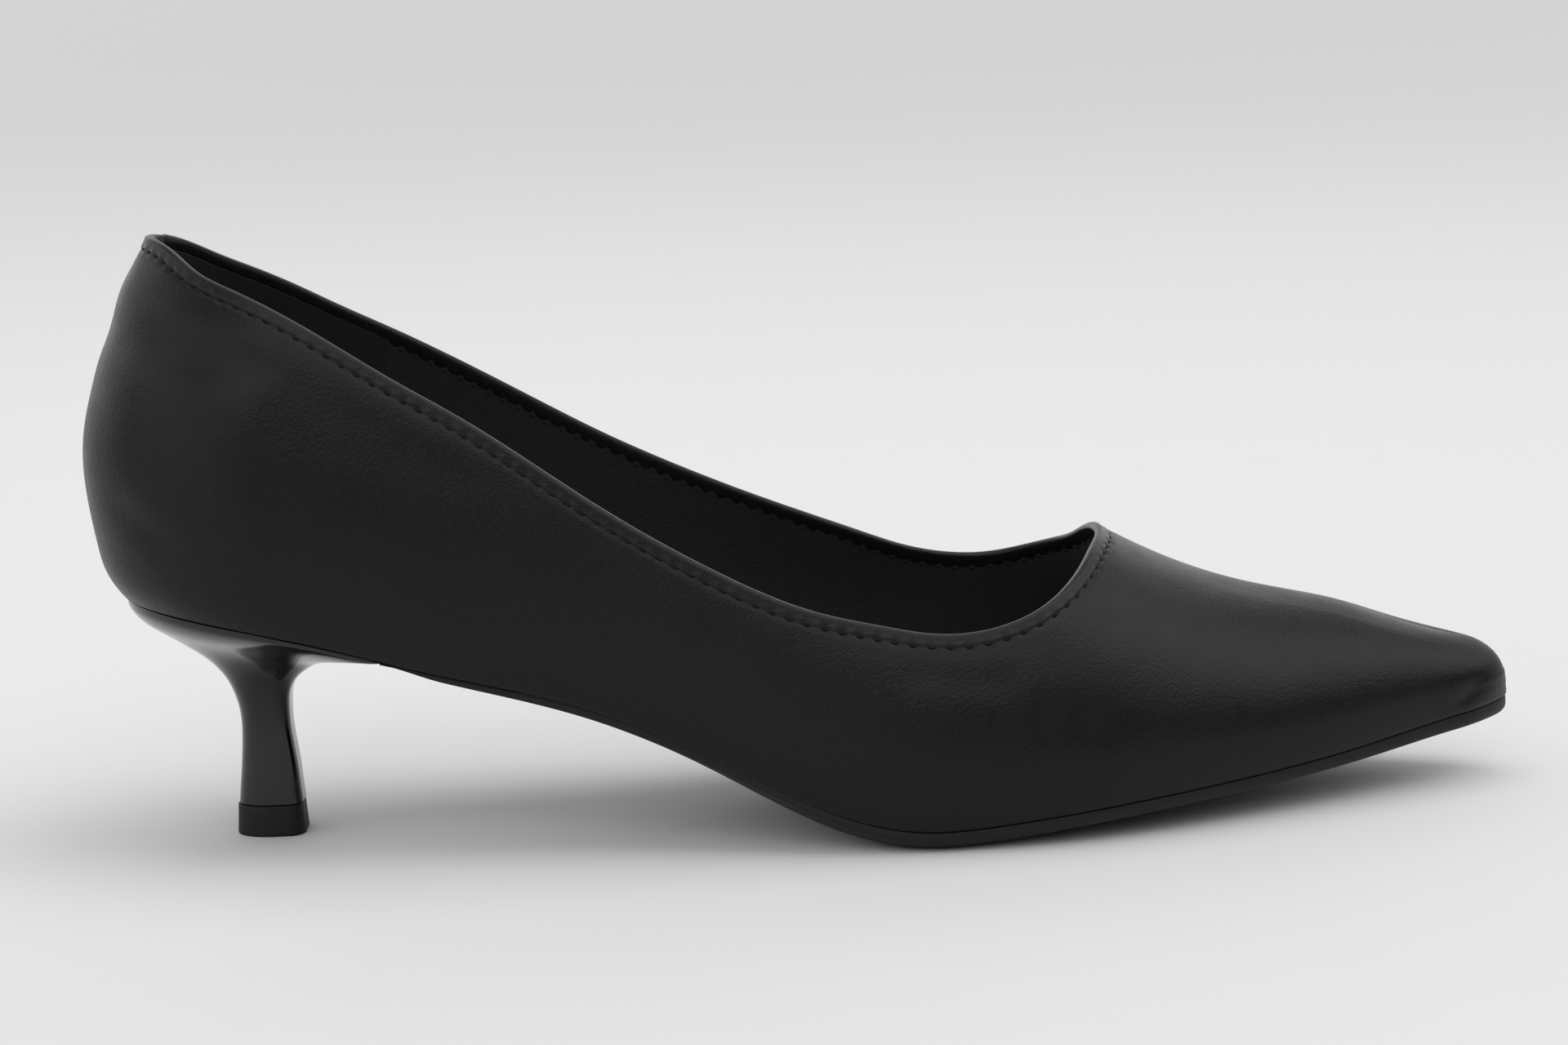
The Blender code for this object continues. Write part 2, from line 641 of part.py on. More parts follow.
def make_top_piece(collection):
    """Make the top piece, the rubber lift that the heel stands on, flared towards the floor."""
    rings = []
    for level, flare in ((TOP_PIECE_HEIGHT, 0.0), (TOP_PIECE_FLARE, 1.0), (0.0, 0.5)):
        drawn_in = (1 - flare) * TOP_PIECE_FLARE
        rear, front = -TOP_PIECE_REAR + drawn_in, TOP_PIECE_FRONT - drawn_in
        half = TOP_PIECE_WIDTH / 2 - drawn_in
        shares = heel_half_ring(STEM_REAR_SPAN, STEM_CORNER, (front - rear) / half)
        rings.append(ring_on_both_sides(lambda side: [
            (rear + forward * (front - rear), side * outward * half, level) for forward, outward in shares
        ]))
    mesh = mesh_from_grid(rings, wrap_columns=True, cap_first=True, cap_last=True)
    face_outwards(mesh)
    return finish_object("top_piece", mesh, collection)


def main():
    """Clear the scene and build every piece."""
    for old in list(bpy.data.objects):
        bpy.data.objects.remove(old, do_unlink=True)
    collection = bpy.data.collections.new("kitten_heel_pump")
    bpy.context.scene.collection.children.link(collection)
    make_upper(collection)
    make_binding(collection)
    make_insole(collection)
    make_outsole(collection)
    make_heel(collection)
    make_top_piece(collection)


if __name__ == "__main__":
    main()
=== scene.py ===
"""A black kitten heel pump, the right shoe, standing on a pale floor in soft studio light.

+X runs from heel to toe, +Z up, and -Y is the outer side, which faces the camera. Everything is in
metres. The leather, lining, binding, insole and outsole are drawn from one description of the last,
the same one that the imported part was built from, with finer steps.
"""

import logging
import math
from dataclasses import dataclass, field
from enum import Enum
from typing import Callable, Optional, Sequence

import bpy
import numpy as np
from mathutils import Matrix, Vector


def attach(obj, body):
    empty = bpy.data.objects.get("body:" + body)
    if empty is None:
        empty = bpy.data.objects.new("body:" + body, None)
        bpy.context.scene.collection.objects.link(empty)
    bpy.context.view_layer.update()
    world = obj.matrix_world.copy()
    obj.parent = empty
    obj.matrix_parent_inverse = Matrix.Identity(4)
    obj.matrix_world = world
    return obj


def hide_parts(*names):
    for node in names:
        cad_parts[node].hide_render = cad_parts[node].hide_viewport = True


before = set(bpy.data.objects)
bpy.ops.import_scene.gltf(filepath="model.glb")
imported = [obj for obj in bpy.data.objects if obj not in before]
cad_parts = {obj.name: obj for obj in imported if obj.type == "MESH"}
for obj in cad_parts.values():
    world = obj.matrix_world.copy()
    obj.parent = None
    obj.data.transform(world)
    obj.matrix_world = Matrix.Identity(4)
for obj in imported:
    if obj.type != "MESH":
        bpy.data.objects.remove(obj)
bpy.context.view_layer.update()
LOG = logging.getLogger("kitten_heel_pump")

Piece = bpy.types.Object
Material = bpy.types.Material
Socket = bpy.types.NodeSocket


class Side(Enum):
    """A side of the shoe, with the sign of its y."""

    LATERAL = -1
    MEDIAL = 1


class Slot(Enum):
    """The finishes that the part's record names."""

    UPPER = "upper"
    BINDING = "topline_binding"
    INSOLE = "insole"
    OUTSOLE = "outsole"
    HEEL = "heel"
    TOP_PIECE = "top_piece"


# Sections from heel (0) to toe (1). The rises are shares of the heel rise and the toe spring, the
# swing is a share of the toe's swing. The widths go by a measure that passes from the heel's width
# (ball 0) to the ball's width (ball 1). The crown is a share of the back's height plus a share of the
# instep's height, and the girth, where the wall is widest, is a share of the crown.
SECTION_COLUMNS = (
    "along", "heel_rise", "toe_rise", "swing", "ball", "lateral", "medial",
    "girth_lateral", "girth_medial", "girth_height", "back", "instep", "fullness",
)
SECTIONS = (
    (0.00, 1.000, 0.00, 0.00, 0.00, 0.500, 0.482, 0.554, 0.541, 0.295, 1.06, 0.00, 2.20),
    (0.03, 0.982, 0.00, 0.00, 0.00, 0.500, 0.482, 0.554, 0.541, 0.293, 1.065, 0.00, 2.20),
    (0.06, 0.956, 0.00, 0.00, 0.00, 0.500, 0.482, 0.554, 0.541, 0.290, 1.07, 0.00, 2.20),
    (0.13, 0.872, 0.00, 0.00, 0.00, 0.500, 0.473, 0.554, 0.541, 0.274, 1.07, 0.02, 2.20),
    (0.22, 0.715, 0.00, 0.00, 0.00, 0.490, 0.434, 0.546, 0.527, 0.262, 0.95, 0.16, 2.20),
    (0.32, 0.550, 0.00, 0.00, 0.10, 0.470, 0.370, 0.527, 0.491, 0.250, 0.70, 0.45, 2.20),
    (0.42, 0.300, 0.00, 0.00, 0.45, 0.475, 0.364, 0.517, 0.463, 0.240, 0.40, 0.76, 2.20),
    (0.50, 0.078, 0.00, 0.00, 0.80, 0.492, 0.423, 0.518, 0.475, 0.220, 0.20, 0.99, 2.20),
    (0.56, 0.000, 0.00, 0.02, 0.97, 0.498, 0.467, 0.520, 0.500, 0.200, 0.10, 1.10, 2.10),
    (0.61, 0.000, 0.04, 0.08, 1.00, 0.496, 0.493, 0.520, 0.518, 0.190, 0.03, 1.19, 2.05),
    (0.66, 0.000, 0.15, 0.16, 1.00, 0.486, 0.498, 0.510, 0.524, 0.190, 0.00, 1.155, 2.00),
    (0.72, 0.000, 0.27, 0.30, 1.00, 0.445, 0.462, 0.468, 0.487, 0.210, 0.00, 0.942, 1.90),
    (0.80, 0.000, 0.41, 0.52, 1.00, 0.355, 0.372, 0.376, 0.392, 0.240, 0.00, 0.705, 1.85),
    (0.88, 0.000, 0.61, 0.76, 1.00, 0.250, 0.256, 0.267, 0.273, 0.276, 0.00, 0.545, 1.80),
    (0.95, 0.000, 0.85, 0.93, 1.00, 0.147, 0.144, 0.160, 0.157, 0.340, 0.00, 0.38, 1.80),
    (1.00, 0.000, 1.00, 1.00, 1.00, 0.084, 0.084, 0.094, 0.094, 0.360, 0.00, 0.270, 1.80),
)

# The topline seen from each side, as a share of the crown, from the back to the throat.
TOPLINE_COLUMNS = ("along", "lateral", "medial")
TOPLINE = (
    (0.034, 0.952, 0.952),
    (0.052, 0.934, 0.936),
    (0.073, 0.890, 0.898),
    (0.097, 0.859, 0.862),
    (0.152, 0.800, 0.801),
    (0.207, 0.743, 0.773),
    (0.251, 0.701, 0.742),
    (0.334, 0.606, 0.688),
    (0.437, 0.598, 0.740),
    (0.490, 0.628, 0.776),
    (0.540, 0.655, 0.770),
    (0.590, 0.642, 0.708),
    (0.630, 0.672, 0.692),
    (0.660, 0.760, 0.745),
    (0.680, 0.872, 0.816),
    (0.692, 0.955, 0.895),
    (0.700, 1.000, 1.000),
)

# The back seam from the seat (0) to the topline (1): how far forward (+) of the seat it runs.
BACK_SEAM_COLUMNS = ("height", "forward")
BACK_SEAM = (
    (0.00, 0.00), (0.05, -0.38), (0.15, -0.70), (0.30, -0.92), (0.45, -0.90),
    (0.60, -0.50), (0.80, 0.25), (1.00, 1.40),
)

# The outsole: setback of its edge as a share of the setback, depth at the edge and at the tread as
# shares of the sole's thickness.
SOLE_COLUMNS = ("along", "setback", "edge_depth", "tread_depth")
SOLE_SECTIONS = (
    (0.18, 0.50, 0.17, 0.32),
    (0.30, 0.80, 0.44, 0.62),
    (0.40, 1.00, 0.42, 0.78),
    (0.48, 0.60, 0.40, 1.00),
    (0.56, 0.15, 0.57, 1.10),
    (0.61, 0.12, 0.57, 1.08),
    (0.72, 0.10, 0.60, 0.88),
    (0.86, 0.10, 0.63, 0.82),
    (1.00, 0.10, 0.76, 0.84),
)

# Rings of the heel from the seat down. The drops are shares of the way from the seat to the top
# piece, behind and in front. The reaches and the spread pass from the stem's foot (0) to the seat.
HEEL_COLUMNS = ("ring", "rear_drop", "front_drop", "rear_reach", "front_reach", "spread")
HEEL_RINGS = (
    (0, 0.000, 0.000, 1.000, 1.000, 1.000),
    (1, 0.028, 0.017, 0.990, 1.000, 0.995),
    (2, 0.060, 0.026, 0.955, 0.870, 0.930),
    (3, 0.115, 0.047, 0.850, 0.690, 0.770),
    (4, 0.180, 0.078, 0.650, 0.470, 0.540),
    (5, 0.250, 0.115, 0.430, 0.280, 0.340),
    (6, 0.315, 0.170, 0.240, 0.130, 0.210),
    (7, 0.390, 0.240, 0.090, 0.005, 0.110),
    (8, 0.465, 0.330, 0.000, -0.065, 0.050),
    (9, 0.550, 0.440, -0.055, -0.080, 0.010),
    (10, 0.655, 0.570, -0.072, -0.072, -0.015),
    (11, 0.800, 0.750, -0.050, -0.035, -0.013),
    (12, 0.920, 0.900, -0.020, -0.015, -0.006),
    (13, 1.000, 1.000, 0.000, 0.000, 0.000),
)

# The binding's section, from its outer lower edge over the top to its inner lower edge: the way down
# from the top as a share of the binding's width, and outwards as a share of half its thickness.
BINDING_PROFILE = (
    (1.06, 0.45), (1.04, 0.66), (1.00, 0.80), (0.94, 0.87), (0.84, 0.90), (0.72, 0.91),
    (0.58, 0.92), (0.44, 0.98), (0.31, 1.02), (0.20, 0.90), (0.11, 0.66), (0.04, 0.34),
    (0.00, 0.00), (0.03, -0.22), (0.09, -0.40), (0.18, -0.54), (0.31, -0.66), (0.48, -0.77),
    (0.66, -0.86), (0.84, -0.93), (0.97, -0.95), (1.04, -0.90), (1.07, -0.74),
)

# The insole's padded top from its middle to its edge: the way in from the edge, and the height as a
# share of its thickness.
INSOLE_PROFILE = (
    (0.0160, 1.10), (0.0100, 1.12), (0.0050, 1.10), (0.0022, 1.03), (0.0010, 0.92), (0.0003, 0.72),
    (0.0, 0.45),
)


def smooth_curve(places: Sequence[float], values: Sequence[float]) -> Callable:
    """Return the natural cubic through the given rows, held constant beyond its ends.

    Args:
        places: where the rows stand, rising.
        values: the value at each row.

    Returns:
        A function of a place, which may be an array.
    """
    places, values = np.array(places, float), np.array(values, float)
    count, step = len(places), np.diff(places)
    slope = np.diff(values) / step
    system, right = np.eye(count), np.zeros(count)
    for i in range(1, count - 1):
        system[i, i - 1:i + 2] = step[i - 1], 2 * (step[i - 1] + step[i]), step[i]
        right[i] = 6 * (slope[i] - slope[i - 1])
    bend = np.linalg.solve(system, right)

    def curve(at: np.ndarray) -> np.ndarray:
        """Return the cubic's value at a place."""
        at = np.clip(at, places[0], places[-1])
        i = np.clip(np.searchsorted(places, at) - 1, 0, count - 2)
        before, after, width = at - places[i], places[i + 1] - at, step[i]
        return (
            (bend[i] * after ** 3 + bend[i + 1] * before ** 3) / (6 * width)
            + (values[i] / width - bend[i] * width / 6) * after
            + (values[i + 1] / width - bend[i + 1] * width / 6) * before
        )

    return curve


def table_curves(columns: Sequence[str], rows: Sequence[Sequence[float]]) -> dict[str, Callable]:
    """Return one smooth curve per column of a table over its first column."""
    table = np.array(rows, float)
    return {name: smooth_curve(table[:, 0], table[:, i]) for i, name in enumerate(columns)}


def fade(share: np.ndarray) -> np.ndarray:
    """Return a soft step from 0 to 1."""
    share = np.clip(share, 0.0, 1.0)
    return share * share * (3 - 2 * share)


def unit(vector: np.ndarray) -> np.ndarray:
    """Return a vector, or each of many, at length 1."""
    return vector / np.linalg.norm(vector, axis=-1, keepdims=True)


def spaced(points: np.ndarray, shares: np.ndarray) -> np.ndarray:
    """Return points at the given shares of a polyline's length."""
    run = np.concatenate(([0], np.cumsum(np.linalg.norm(np.diff(points, axis=0), axis=1))))
    return np.stack([np.interp(shares * run[-1], run, points[:, i]) for i in range(3)], axis=1)


@dataclass(frozen=True)
class Ribbon:
    """The topline as a closed loop of frames, from the throat round the outer side and back.

    Attributes:
        sides: the side that each frame is on.
        points: the places of the frames.
        normals: the directions out of the wall.
        down: the directions down the wall.
        tangents: the directions along the loop.
        run: the way along the loop to each frame.
        length: the loop's whole length.
    """

    sides: list
    points: np.ndarray
    normals: np.ndarray
    down: np.ndarray
    tangents: np.ndarray
    run: np.ndarray
    length: float

    def at(self, run: float) -> tuple[np.ndarray, np.ndarray, np.ndarray]:
        """Return the point, the outward normal and the downward direction at a way along the loop."""
        place = run % self.length
        wrapped = np.append(self.run, self.length)
        found = []
        for values in (self.points, self.normals, self.down):
            closed = np.vstack((values, values[:1]))
            found.append(np.array([np.interp(place, wrapped, closed[:, i]) for i in range(3)]))
        return found[0], unit(found[1]), unit(found[2])


@dataclass
class Last:
    """The form that the shoe is lasted on, in metres."""

    bottom_length: float = 0.2520
    heel_overhang: float = 0.0235
    ball_width: float = 0.0765
    heel_width: float = 0.0560
    heel_rise: float = 0.0420
    toe_spring: float = 0.0108
    instep_height: float = 0.0430
    back_height: float = 0.0645
    back_curve: float = 0.0060
    toe_swing: float = 0.0050
    heel_rounding: float = 0.0320
    toe_rounding: float = 0.0100
    toe_roll: float = 0.0100
    heel_lean: float = 0.0850
    toe_lean: float = 0.0400
    sole_thickness: float = 0.0035
    fit_gap: float = 0.0003
    section: dict = field(init=False)
    topline: dict = field(init=False)
    back_forward: Callable = field(init=False)
    walk: dict = field(init=False)

    def __post_init__(self) -> None:
        """Draw the curves through the tables."""
        self.section = table_curves(SECTION_COLUMNS, SECTIONS)
        self.topline = table_curves(TOPLINE_COLUMNS, TOPLINE)
        self.back_forward = table_curves(BACK_SEAM_COLUMNS, BACK_SEAM)["forward"]
        self.heel_end = -self.heel_overhang
        self.toe_end = self.heel_end + self.bottom_length
        self.throat_at = self.heel_end + TOPLINE[-1][0] * self.bottom_length
        self.walk = {side: self.walk_topline(side) for side in Side}

    def walk_topline(self, side: Side) -> tuple[np.ndarray, np.ndarray]:
        """Return places along one side's topline, from the back to the throat: x and the way so far."""
        turn = (1 - np.cos(np.linspace(0, math.pi, 500))) / 2
        xs = self.heel_end + (self.throat_at - self.heel_end) * turn
        edge = self.topline_in_side_view(side)
        line = []
        for x in xs:
            section = self.wall_section(x, side)
            k, share = self.crossing(section, x, edge)
            line.append(section[k] + share * (section[k + 1] - section[k]))
        return xs, np.concatenate(([0], np.cumsum(np.linalg.norm(np.diff(line, axis=0), axis=1))))

    def along(self, x: np.ndarray) -> np.ndarray:
        """Return the share of the bottom's length at x."""
        return (x - self.heel_end) / self.bottom_length

    def feather(self, x: np.ndarray) -> np.ndarray:
        """Return the height of the feather line at x."""
        at = self.along(x)
        heel = self.section["heel_rise"](at) * self.heel_rise
        toe = self.section["toe_rise"](at) * self.toe_spring
        return self.sole_thickness + self.fit_gap + heel + toe

    def steepness(self, x: float) -> float:
        """Return the upright depth at x of a layer of unit thickness along the feather line."""
        step = 0.0005
        return math.hypot(1.0, (self.feather(x + step) - self.feather(x - step)) / (2 * step))

    def swing(self, x: float) -> float:
        """Return the y of the middle of the last at x."""
        return self.section["swing"](self.along(x)) * self.toe_swing

    def crown_height(self, x: np.ndarray) -> np.ndarray:
        """Return the height of the crown above the feather line at x."""
        at = self.along(x)
        back = self.section["back"](at) * self.back_height
        return back + self.section["instep"](at) * self.instep_height

    def half_width(self, x: float, side: Side, girth: bool = False) -> float:
        """Return the plan's half width at x, before its ends are rounded."""
        at = self.along(x)
        measure = self.heel_width + self.section["ball"](at) * (self.ball_width - self.heel_width)
        name = side.name.lower()
        return measure * self.section["girth_" + name if girth else name](at)

    def closing(self, x: float) -> float:
        """Return how far the plan is open at x: 0 at the two ends, 1 between them."""
        heel = np.clip((x - self.heel_end) / self.heel_rounding, 0.0, 1.0)
        toe = np.clip((self.toe_end - x) / self.toe_rounding, 0.0, 1.0)
        return np.sqrt(1 - (1 - heel) ** 2) * np.sqrt(1 - (1 - toe) ** 2)

    def outline_point(self, x: float, side: Side, inset: float, depth: float) -> np.ndarray:
        """Return a point of the bottom's outline.

        Args:
            x: the place along the foot.
            side: the side of the foot.
            inset: how far the outline is drawn in.
            depth: how far the point lies under the feather line.

        Returns:
            The point.
        """
        drawn_in = self.heel_end + inset + (x - self.heel_end) * (1 - 2 * inset / self.bottom_length)
        full = self.half_width(drawn_in, side)
        half = full - inset / (1 + (inset / full) ** 3) ** (1 / 3)
        level = self.feather(drawn_in) - depth * self.steepness(drawn_in)
        return np.array((drawn_in, self.swing(drawn_in) + side.value * self.closing(x) * half, level))

    def topline_in_side_view(self, side: Side) -> tuple[np.ndarray, np.ndarray]:
        """Return the topline seen from the side, as arrays of x and z."""
        x = np.linspace(self.heel_end - self.back_curve, self.throat_at, 480)
        share = self.topline[side.name.lower()](self.along(x))
        return x, self.feather(x) + share * self.crown_height(x)

    def wall_section(self, x: float, side: Side) -> np.ndarray:
        """Return the wall's whole section at x, from the feather line up to the crown."""
        at = self.along(x)
        foot, girth = self.half_width(x, side), self.half_width(x, side, girth=True)
        crown = self.crown_height(x)
        girth_height = crown * self.section["girth_height"](at)
        fullness = self.section["fullness"](at)
        low = np.linspace(0, 1, 14)[:-1]
        turn = np.linspace(0, math.pi / 2, 60)
        width = np.concatenate((
            (1 - low) ** 2 * foot + 2 * low * (1 - low) * girth + low ** 2 * girth,
            girth * np.abs(np.cos(turn)) ** (2 / fullness),
        ))
        width[-1] = 0.0
        height = np.concatenate((
            0.6 * low * (1 - low) * girth_height + low ** 2 * girth_height,
            girth_height + (crown - girth_height) * np.sin(turn) ** (2 / fullness),
        ))
        lean_back = 1 - fade((x - self.heel_end) / self.heel_lean)
        lean_toe = 1 - fade((self.toe_end - x) / self.toe_lean)
        above_girth = np.where(height > girth_height, 1 - np.clip(width / girth, 0, 1), 0)
        back = lean_back * self.back_forward(height / self.back_height) * self.back_curve
        shift = back - lean_toe * self.toe_roll * above_girth
        y = self.swing(x) + side.value * self.closing(x) * width
        return np.stack((x + shift, y, self.feather(x) + height), axis=1)

    @staticmethod
    def crossing(section: np.ndarray, x: float, edge: tuple) -> tuple[int, float]:
        """Return where a section meets the edge seen from the side: the step before it and a share."""
        edge_x, edge_z = edge
        if x < edge_x[-1] - 1e-6:
            above = section[:, 2] - np.interp(section[:, 0], edge_x, edge_z)
            over = np.nonzero(above > 0)[0]
            if len(over):
                k = over[0]
                return k - 1, above[k - 1] / (above[k - 1] - above[k])
        return len(section) - 2, 1.0

    def edge_frame(self, x: float, side: Side, edge: tuple) -> tuple[np.ndarray, np.ndarray]:
        """Return the wall's point on the edge at x and the outward normal of the wall there."""
        section = self.wall_section(x, side)
        k, share = self.crossing(section, x, edge)
        step = 0.0002
        ahead = self.wall_section(x + step, side)
        behind = self.wall_section(max(x - step, self.heel_end), side)
        lengthwise = (ahead - behind)[k:k + 2].mean(axis=0)
        upwards = section[k + 1] - section[k]
        normal = unit(np.cross(lengthwise, upwards)) * -side.value
        if x <= self.heel_end:
            normal = unit(np.array((normal[0], 0.0, normal[2])))
        return section[k] + share * upwards, normal

    def ribbon(self, spacing: float) -> Ribbon:
        """Return the topline's loop in frames about a spacing apart.

        Args:
            spacing: the way between two frames along the topline.

        Returns:
            The loop.
        """
        stations = {}
        for side, (rough, run) in self.walk.items():
            count = int(round(run[-1] / spacing)) + 1
            stations[side] = np.interp(np.linspace(0, run[-1], count), run, rough)
        sides = [(Side.LATERAL, x) for x in stations[Side.LATERAL][::-1]]
        sides += [(Side.MEDIAL, x) for x in stations[Side.MEDIAL][1:-1]]
        edges = {side: self.topline_in_side_view(side) for side in Side}
        frames = [self.edge_frame(x, side, edges[side]) for side, x in sides]
        points = np.array([point for point, _ in frames])
        normals = np.array([normal for _, normal in frames])
        normals[0] = unit(normals[0] * (1, 0, 1))
        steps = np.linalg.norm(np.roll(points, -1, axis=0) - points, axis=1)
        run = np.concatenate(([0], np.cumsum(steps)[:-1]))
        self.steady_back(normals, run - run[len(stations[Side.LATERAL]) - 1])
        for _ in range(2):
            normals = unit(np.roll(normals, 1, axis=0) + 2 * normals + np.roll(normals, -1, axis=0))
        tangents = unit(np.roll(points, -1, axis=0) - np.roll(points, 1, axis=0))
        down = unit(np.cross(normals, tangents))
        on_sides = [side for side, _ in sides]
        return Ribbon(on_sides, points, normals, down, tangents, run, float(steps.sum()))

    @staticmethod
    def steady_back(
        normals: np.ndarray, run: np.ndarray, reach: float = 0.0048, lean: float = 0.50,
    ) -> None:
        """Turn the normals evenly round the back, where the two sides of the topline meet.

        Args:
            normals: the loop's normals, changed in place.
            run: the way along the loop from its back.
            reach: how far to each side the normals are drawn anew.
            lean: the upward part of the normal at the back.
        """
        ends = [np.abs(run - side * reach).argmin() for side in (-1, 1)]
        turns = [math.atan2(normals[end][1], -normals[end][0]) for end in ends]
        tilts = [normals[end][2] for end in ends]
        for i in range(ends[0], ends[1] + 1):
            turn = np.interp(run[i], (-reach, reach), turns)
            tilt = np.interp(run[i], (-reach, 0, reach), (tilts[0], lean, tilts[1]))
            flat = math.sqrt(1 - tilt ** 2)
            normals[i] = (-flat * math.cos(turn), flat * math.sin(turn), tilt)

    def lowered_edges(self, ribbon: Ribbon, distance: float) -> dict:
        """Return, for each side, the line at a distance below the topline, seen from the side."""
        lowered = ribbon.points + distance * ribbon.down
        back = ribbon.sides.index(Side.MEDIAL) - 1
        lines = {
            Side.LATERAL: lowered[back::-1],
            Side.MEDIAL: np.vstack((lowered[back:], lowered[:1])),
        }
        return {side: (line[:, 0], line[:, 2]) for side, line in lines.items()}

    def toe_stations(self, count: int = 16) -> np.ndarray:
        """Return the x of sections round the toe, closer towards its end."""
        return self.toe_end - self.toe_rounding * (1 - np.cos(np.linspace(math.pi / 2, 0, count)))

    def stations_at_edge(self, side: Side, edge: tuple, step: float) -> np.ndarray:
        """Return the x of the wall's columns on one side, whose upper ends fall on the edge's points.

        Args:
            side: the side of the foot.
            edge: the edge seen from the side.
            step: the way between columns in front of the throat.

        Returns:
            The columns' x, from the heel to the toe.
        """
        found = [self.heel_end]
        for target in edge[0][1:-1]:
            low, high = found[-1], min(found[-1] + 0.012, edge[0][-1])
            for _ in range(16):
                middle = (low + high) / 2
                section = self.wall_section(middle, side)
                k, share = self.crossing(section, middle, edge)
                if section[k, 0] + share * (section[k + 1, 0] - section[k, 0]) < target:
                    low = middle
                else:
                    high = middle
            found.append(high)
        toe = self.toe_stations()
        vamp = np.linspace(edge[0][-1], toe[0], int((toe[0] - edge[0][-1]) / step) + 1)
        return np.concatenate((found, vamp, toe[1:]))

    def even_stations(self, start: float, step: float) -> np.ndarray:
        """Return the x of sections about a step apart from start to the toe, closer round the ends."""
        toe = self.toe_stations()
        middle = start
        parts = []
        if start <= self.heel_end:
            middle = self.heel_end + self.heel_rounding
            turn = np.linspace(0, math.pi / 2, 32)
            parts.append((self.heel_end + self.heel_rounding * (1 - np.cos(turn)))[:-1])
        parts.append(np.linspace(middle, toe[0], int((toe[0] - middle) / step) + 1))
        return np.concatenate((*parts, toe[1:]))


class Bench:
    """The modelling steps that every piece shares, done with Blender's own operators."""

    @staticmethod
    def clear_selection() -> None:
        """Leave edit mode and deselect everything."""
        if bpy.context.object and bpy.context.object.mode != "OBJECT":
            bpy.ops.object.mode_set(mode="OBJECT")
        bpy.ops.object.select_all(action="DESELECT")

    @staticmethod
    def pick(piece: Piece) -> None:
        """Make a piece the only one selected, and the active one."""
        Bench.clear_selection()
        piece.select_set(True)
        bpy.context.view_layer.objects.active = piece

    @staticmethod
    def sheet(name: str, rows: np.ndarray, wrap: bool = False, weld: float = 0.00002) -> Piece:
        """Add a grid, bring its vertices to their places and weld what falls together.

        Args:
            name: the piece's name.
            rows: the places, an array of rows by columns by 3.
            wrap: True where the columns close into a ring.
            weld: the distance under which two vertices become one.

        Returns:
            The new object, at the origin.
        """
        if wrap:
            rows = np.concatenate((rows, rows[:, :1]), axis=1)
        down, across = rows.shape[:2]
        Bench.clear_selection()
        bpy.ops.mesh.primitive_grid_add(x_subdivisions=across - 1, y_subdivisions=down - 1, size=1.0)
        piece = bpy.context.object
        piece.name = piece.data.name = name
        flat = Bench.coordinates(piece)
        column = np.rint((flat[:, 0] + 0.5) * (across - 1)).astype(int)
        row = np.rint((flat[:, 1] + 0.5) * (down - 1)).astype(int)
        Bench.place(piece, rows[row, column])
        bpy.ops.object.mode_set(mode="EDIT")
        bpy.ops.mesh.select_all(action="SELECT")
        bpy.ops.mesh.remove_doubles(threshold=weld)
        bpy.ops.mesh.dissolve_degenerate(threshold=weld)
        Bench.face_outwards()
        return piece

    @staticmethod
    def face_outwards() -> None:
        """Turn all faces of what is in edit mode outwards, and leave edit mode."""
        bpy.ops.mesh.select_all(action="SELECT")
        bpy.ops.mesh.normals_make_consistent(inside=False)
        bpy.ops.object.mode_set(mode="OBJECT")

    @staticmethod
    def close_holes(piece: Piece) -> None:
        """Fill every open edge loop of a piece and face it outwards."""
        Bench.pick(piece)
        bpy.ops.object.mode_set(mode="EDIT")
        bpy.ops.mesh.select_all(action="SELECT")
        bpy.ops.mesh.fill_holes(sides=0)
        Bench.face_outwards()

    @staticmethod
    def coordinates(piece: Piece) -> np.ndarray:
        """Return a piece's vertices as an array."""
        flat = np.zeros(len(piece.data.vertices) * 3)
        piece.data.vertices.foreach_get("co", flat)
        return flat.reshape(-1, 3)

    @staticmethod
    def normals(piece: Piece) -> np.ndarray:
        """Return a piece's vertex normals as an array."""
        flat = np.zeros(len(piece.data.vertices) * 3)
        piece.data.vertex_normals.foreach_get("vector", flat)
        return flat.reshape(-1, 3)

    @staticmethod
    def place(piece: Piece, coordinates: np.ndarray) -> None:
        """Move a piece's vertices to new places."""
        piece.data.vertices.foreach_set("co", coordinates.reshape(-1))
        piece.data.update()

    @staticmethod
    def wall(piece: Piece, thickness: float) -> None:
        """Give an open skin a wall inwards."""
        Bench.pick(piece)
        modifier = piece.modifiers.new("wall", "SOLIDIFY")
        modifier.thickness = thickness
        modifier.offset = -1.0
        bpy.ops.object.modifier_apply(modifier=modifier.name)

    @staticmethod
    def finish(
        piece: Piece, materials: Sequence[Material], slot: Slot,
        nodes: Sequence[str] = (), angle: float = 50.0,
    ) -> Piece:
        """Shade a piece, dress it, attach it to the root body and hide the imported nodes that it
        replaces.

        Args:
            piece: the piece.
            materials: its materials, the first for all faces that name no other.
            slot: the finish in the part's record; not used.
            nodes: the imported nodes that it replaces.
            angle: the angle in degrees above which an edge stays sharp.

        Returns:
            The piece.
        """
        Bench.pick(piece)
        bpy.ops.object.shade_smooth_by_angle(angle=math.radians(angle))
        for material in materials:
            piece.data.materials.append(material)
        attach(piece, "root")
        if nodes:
            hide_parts(*nodes)
        triangles = sum(len(face.vertices) - 2 for face in piece.data.polygons)
        LOG.info("%s: %d triangles", piece.name, triangles)
        return piece


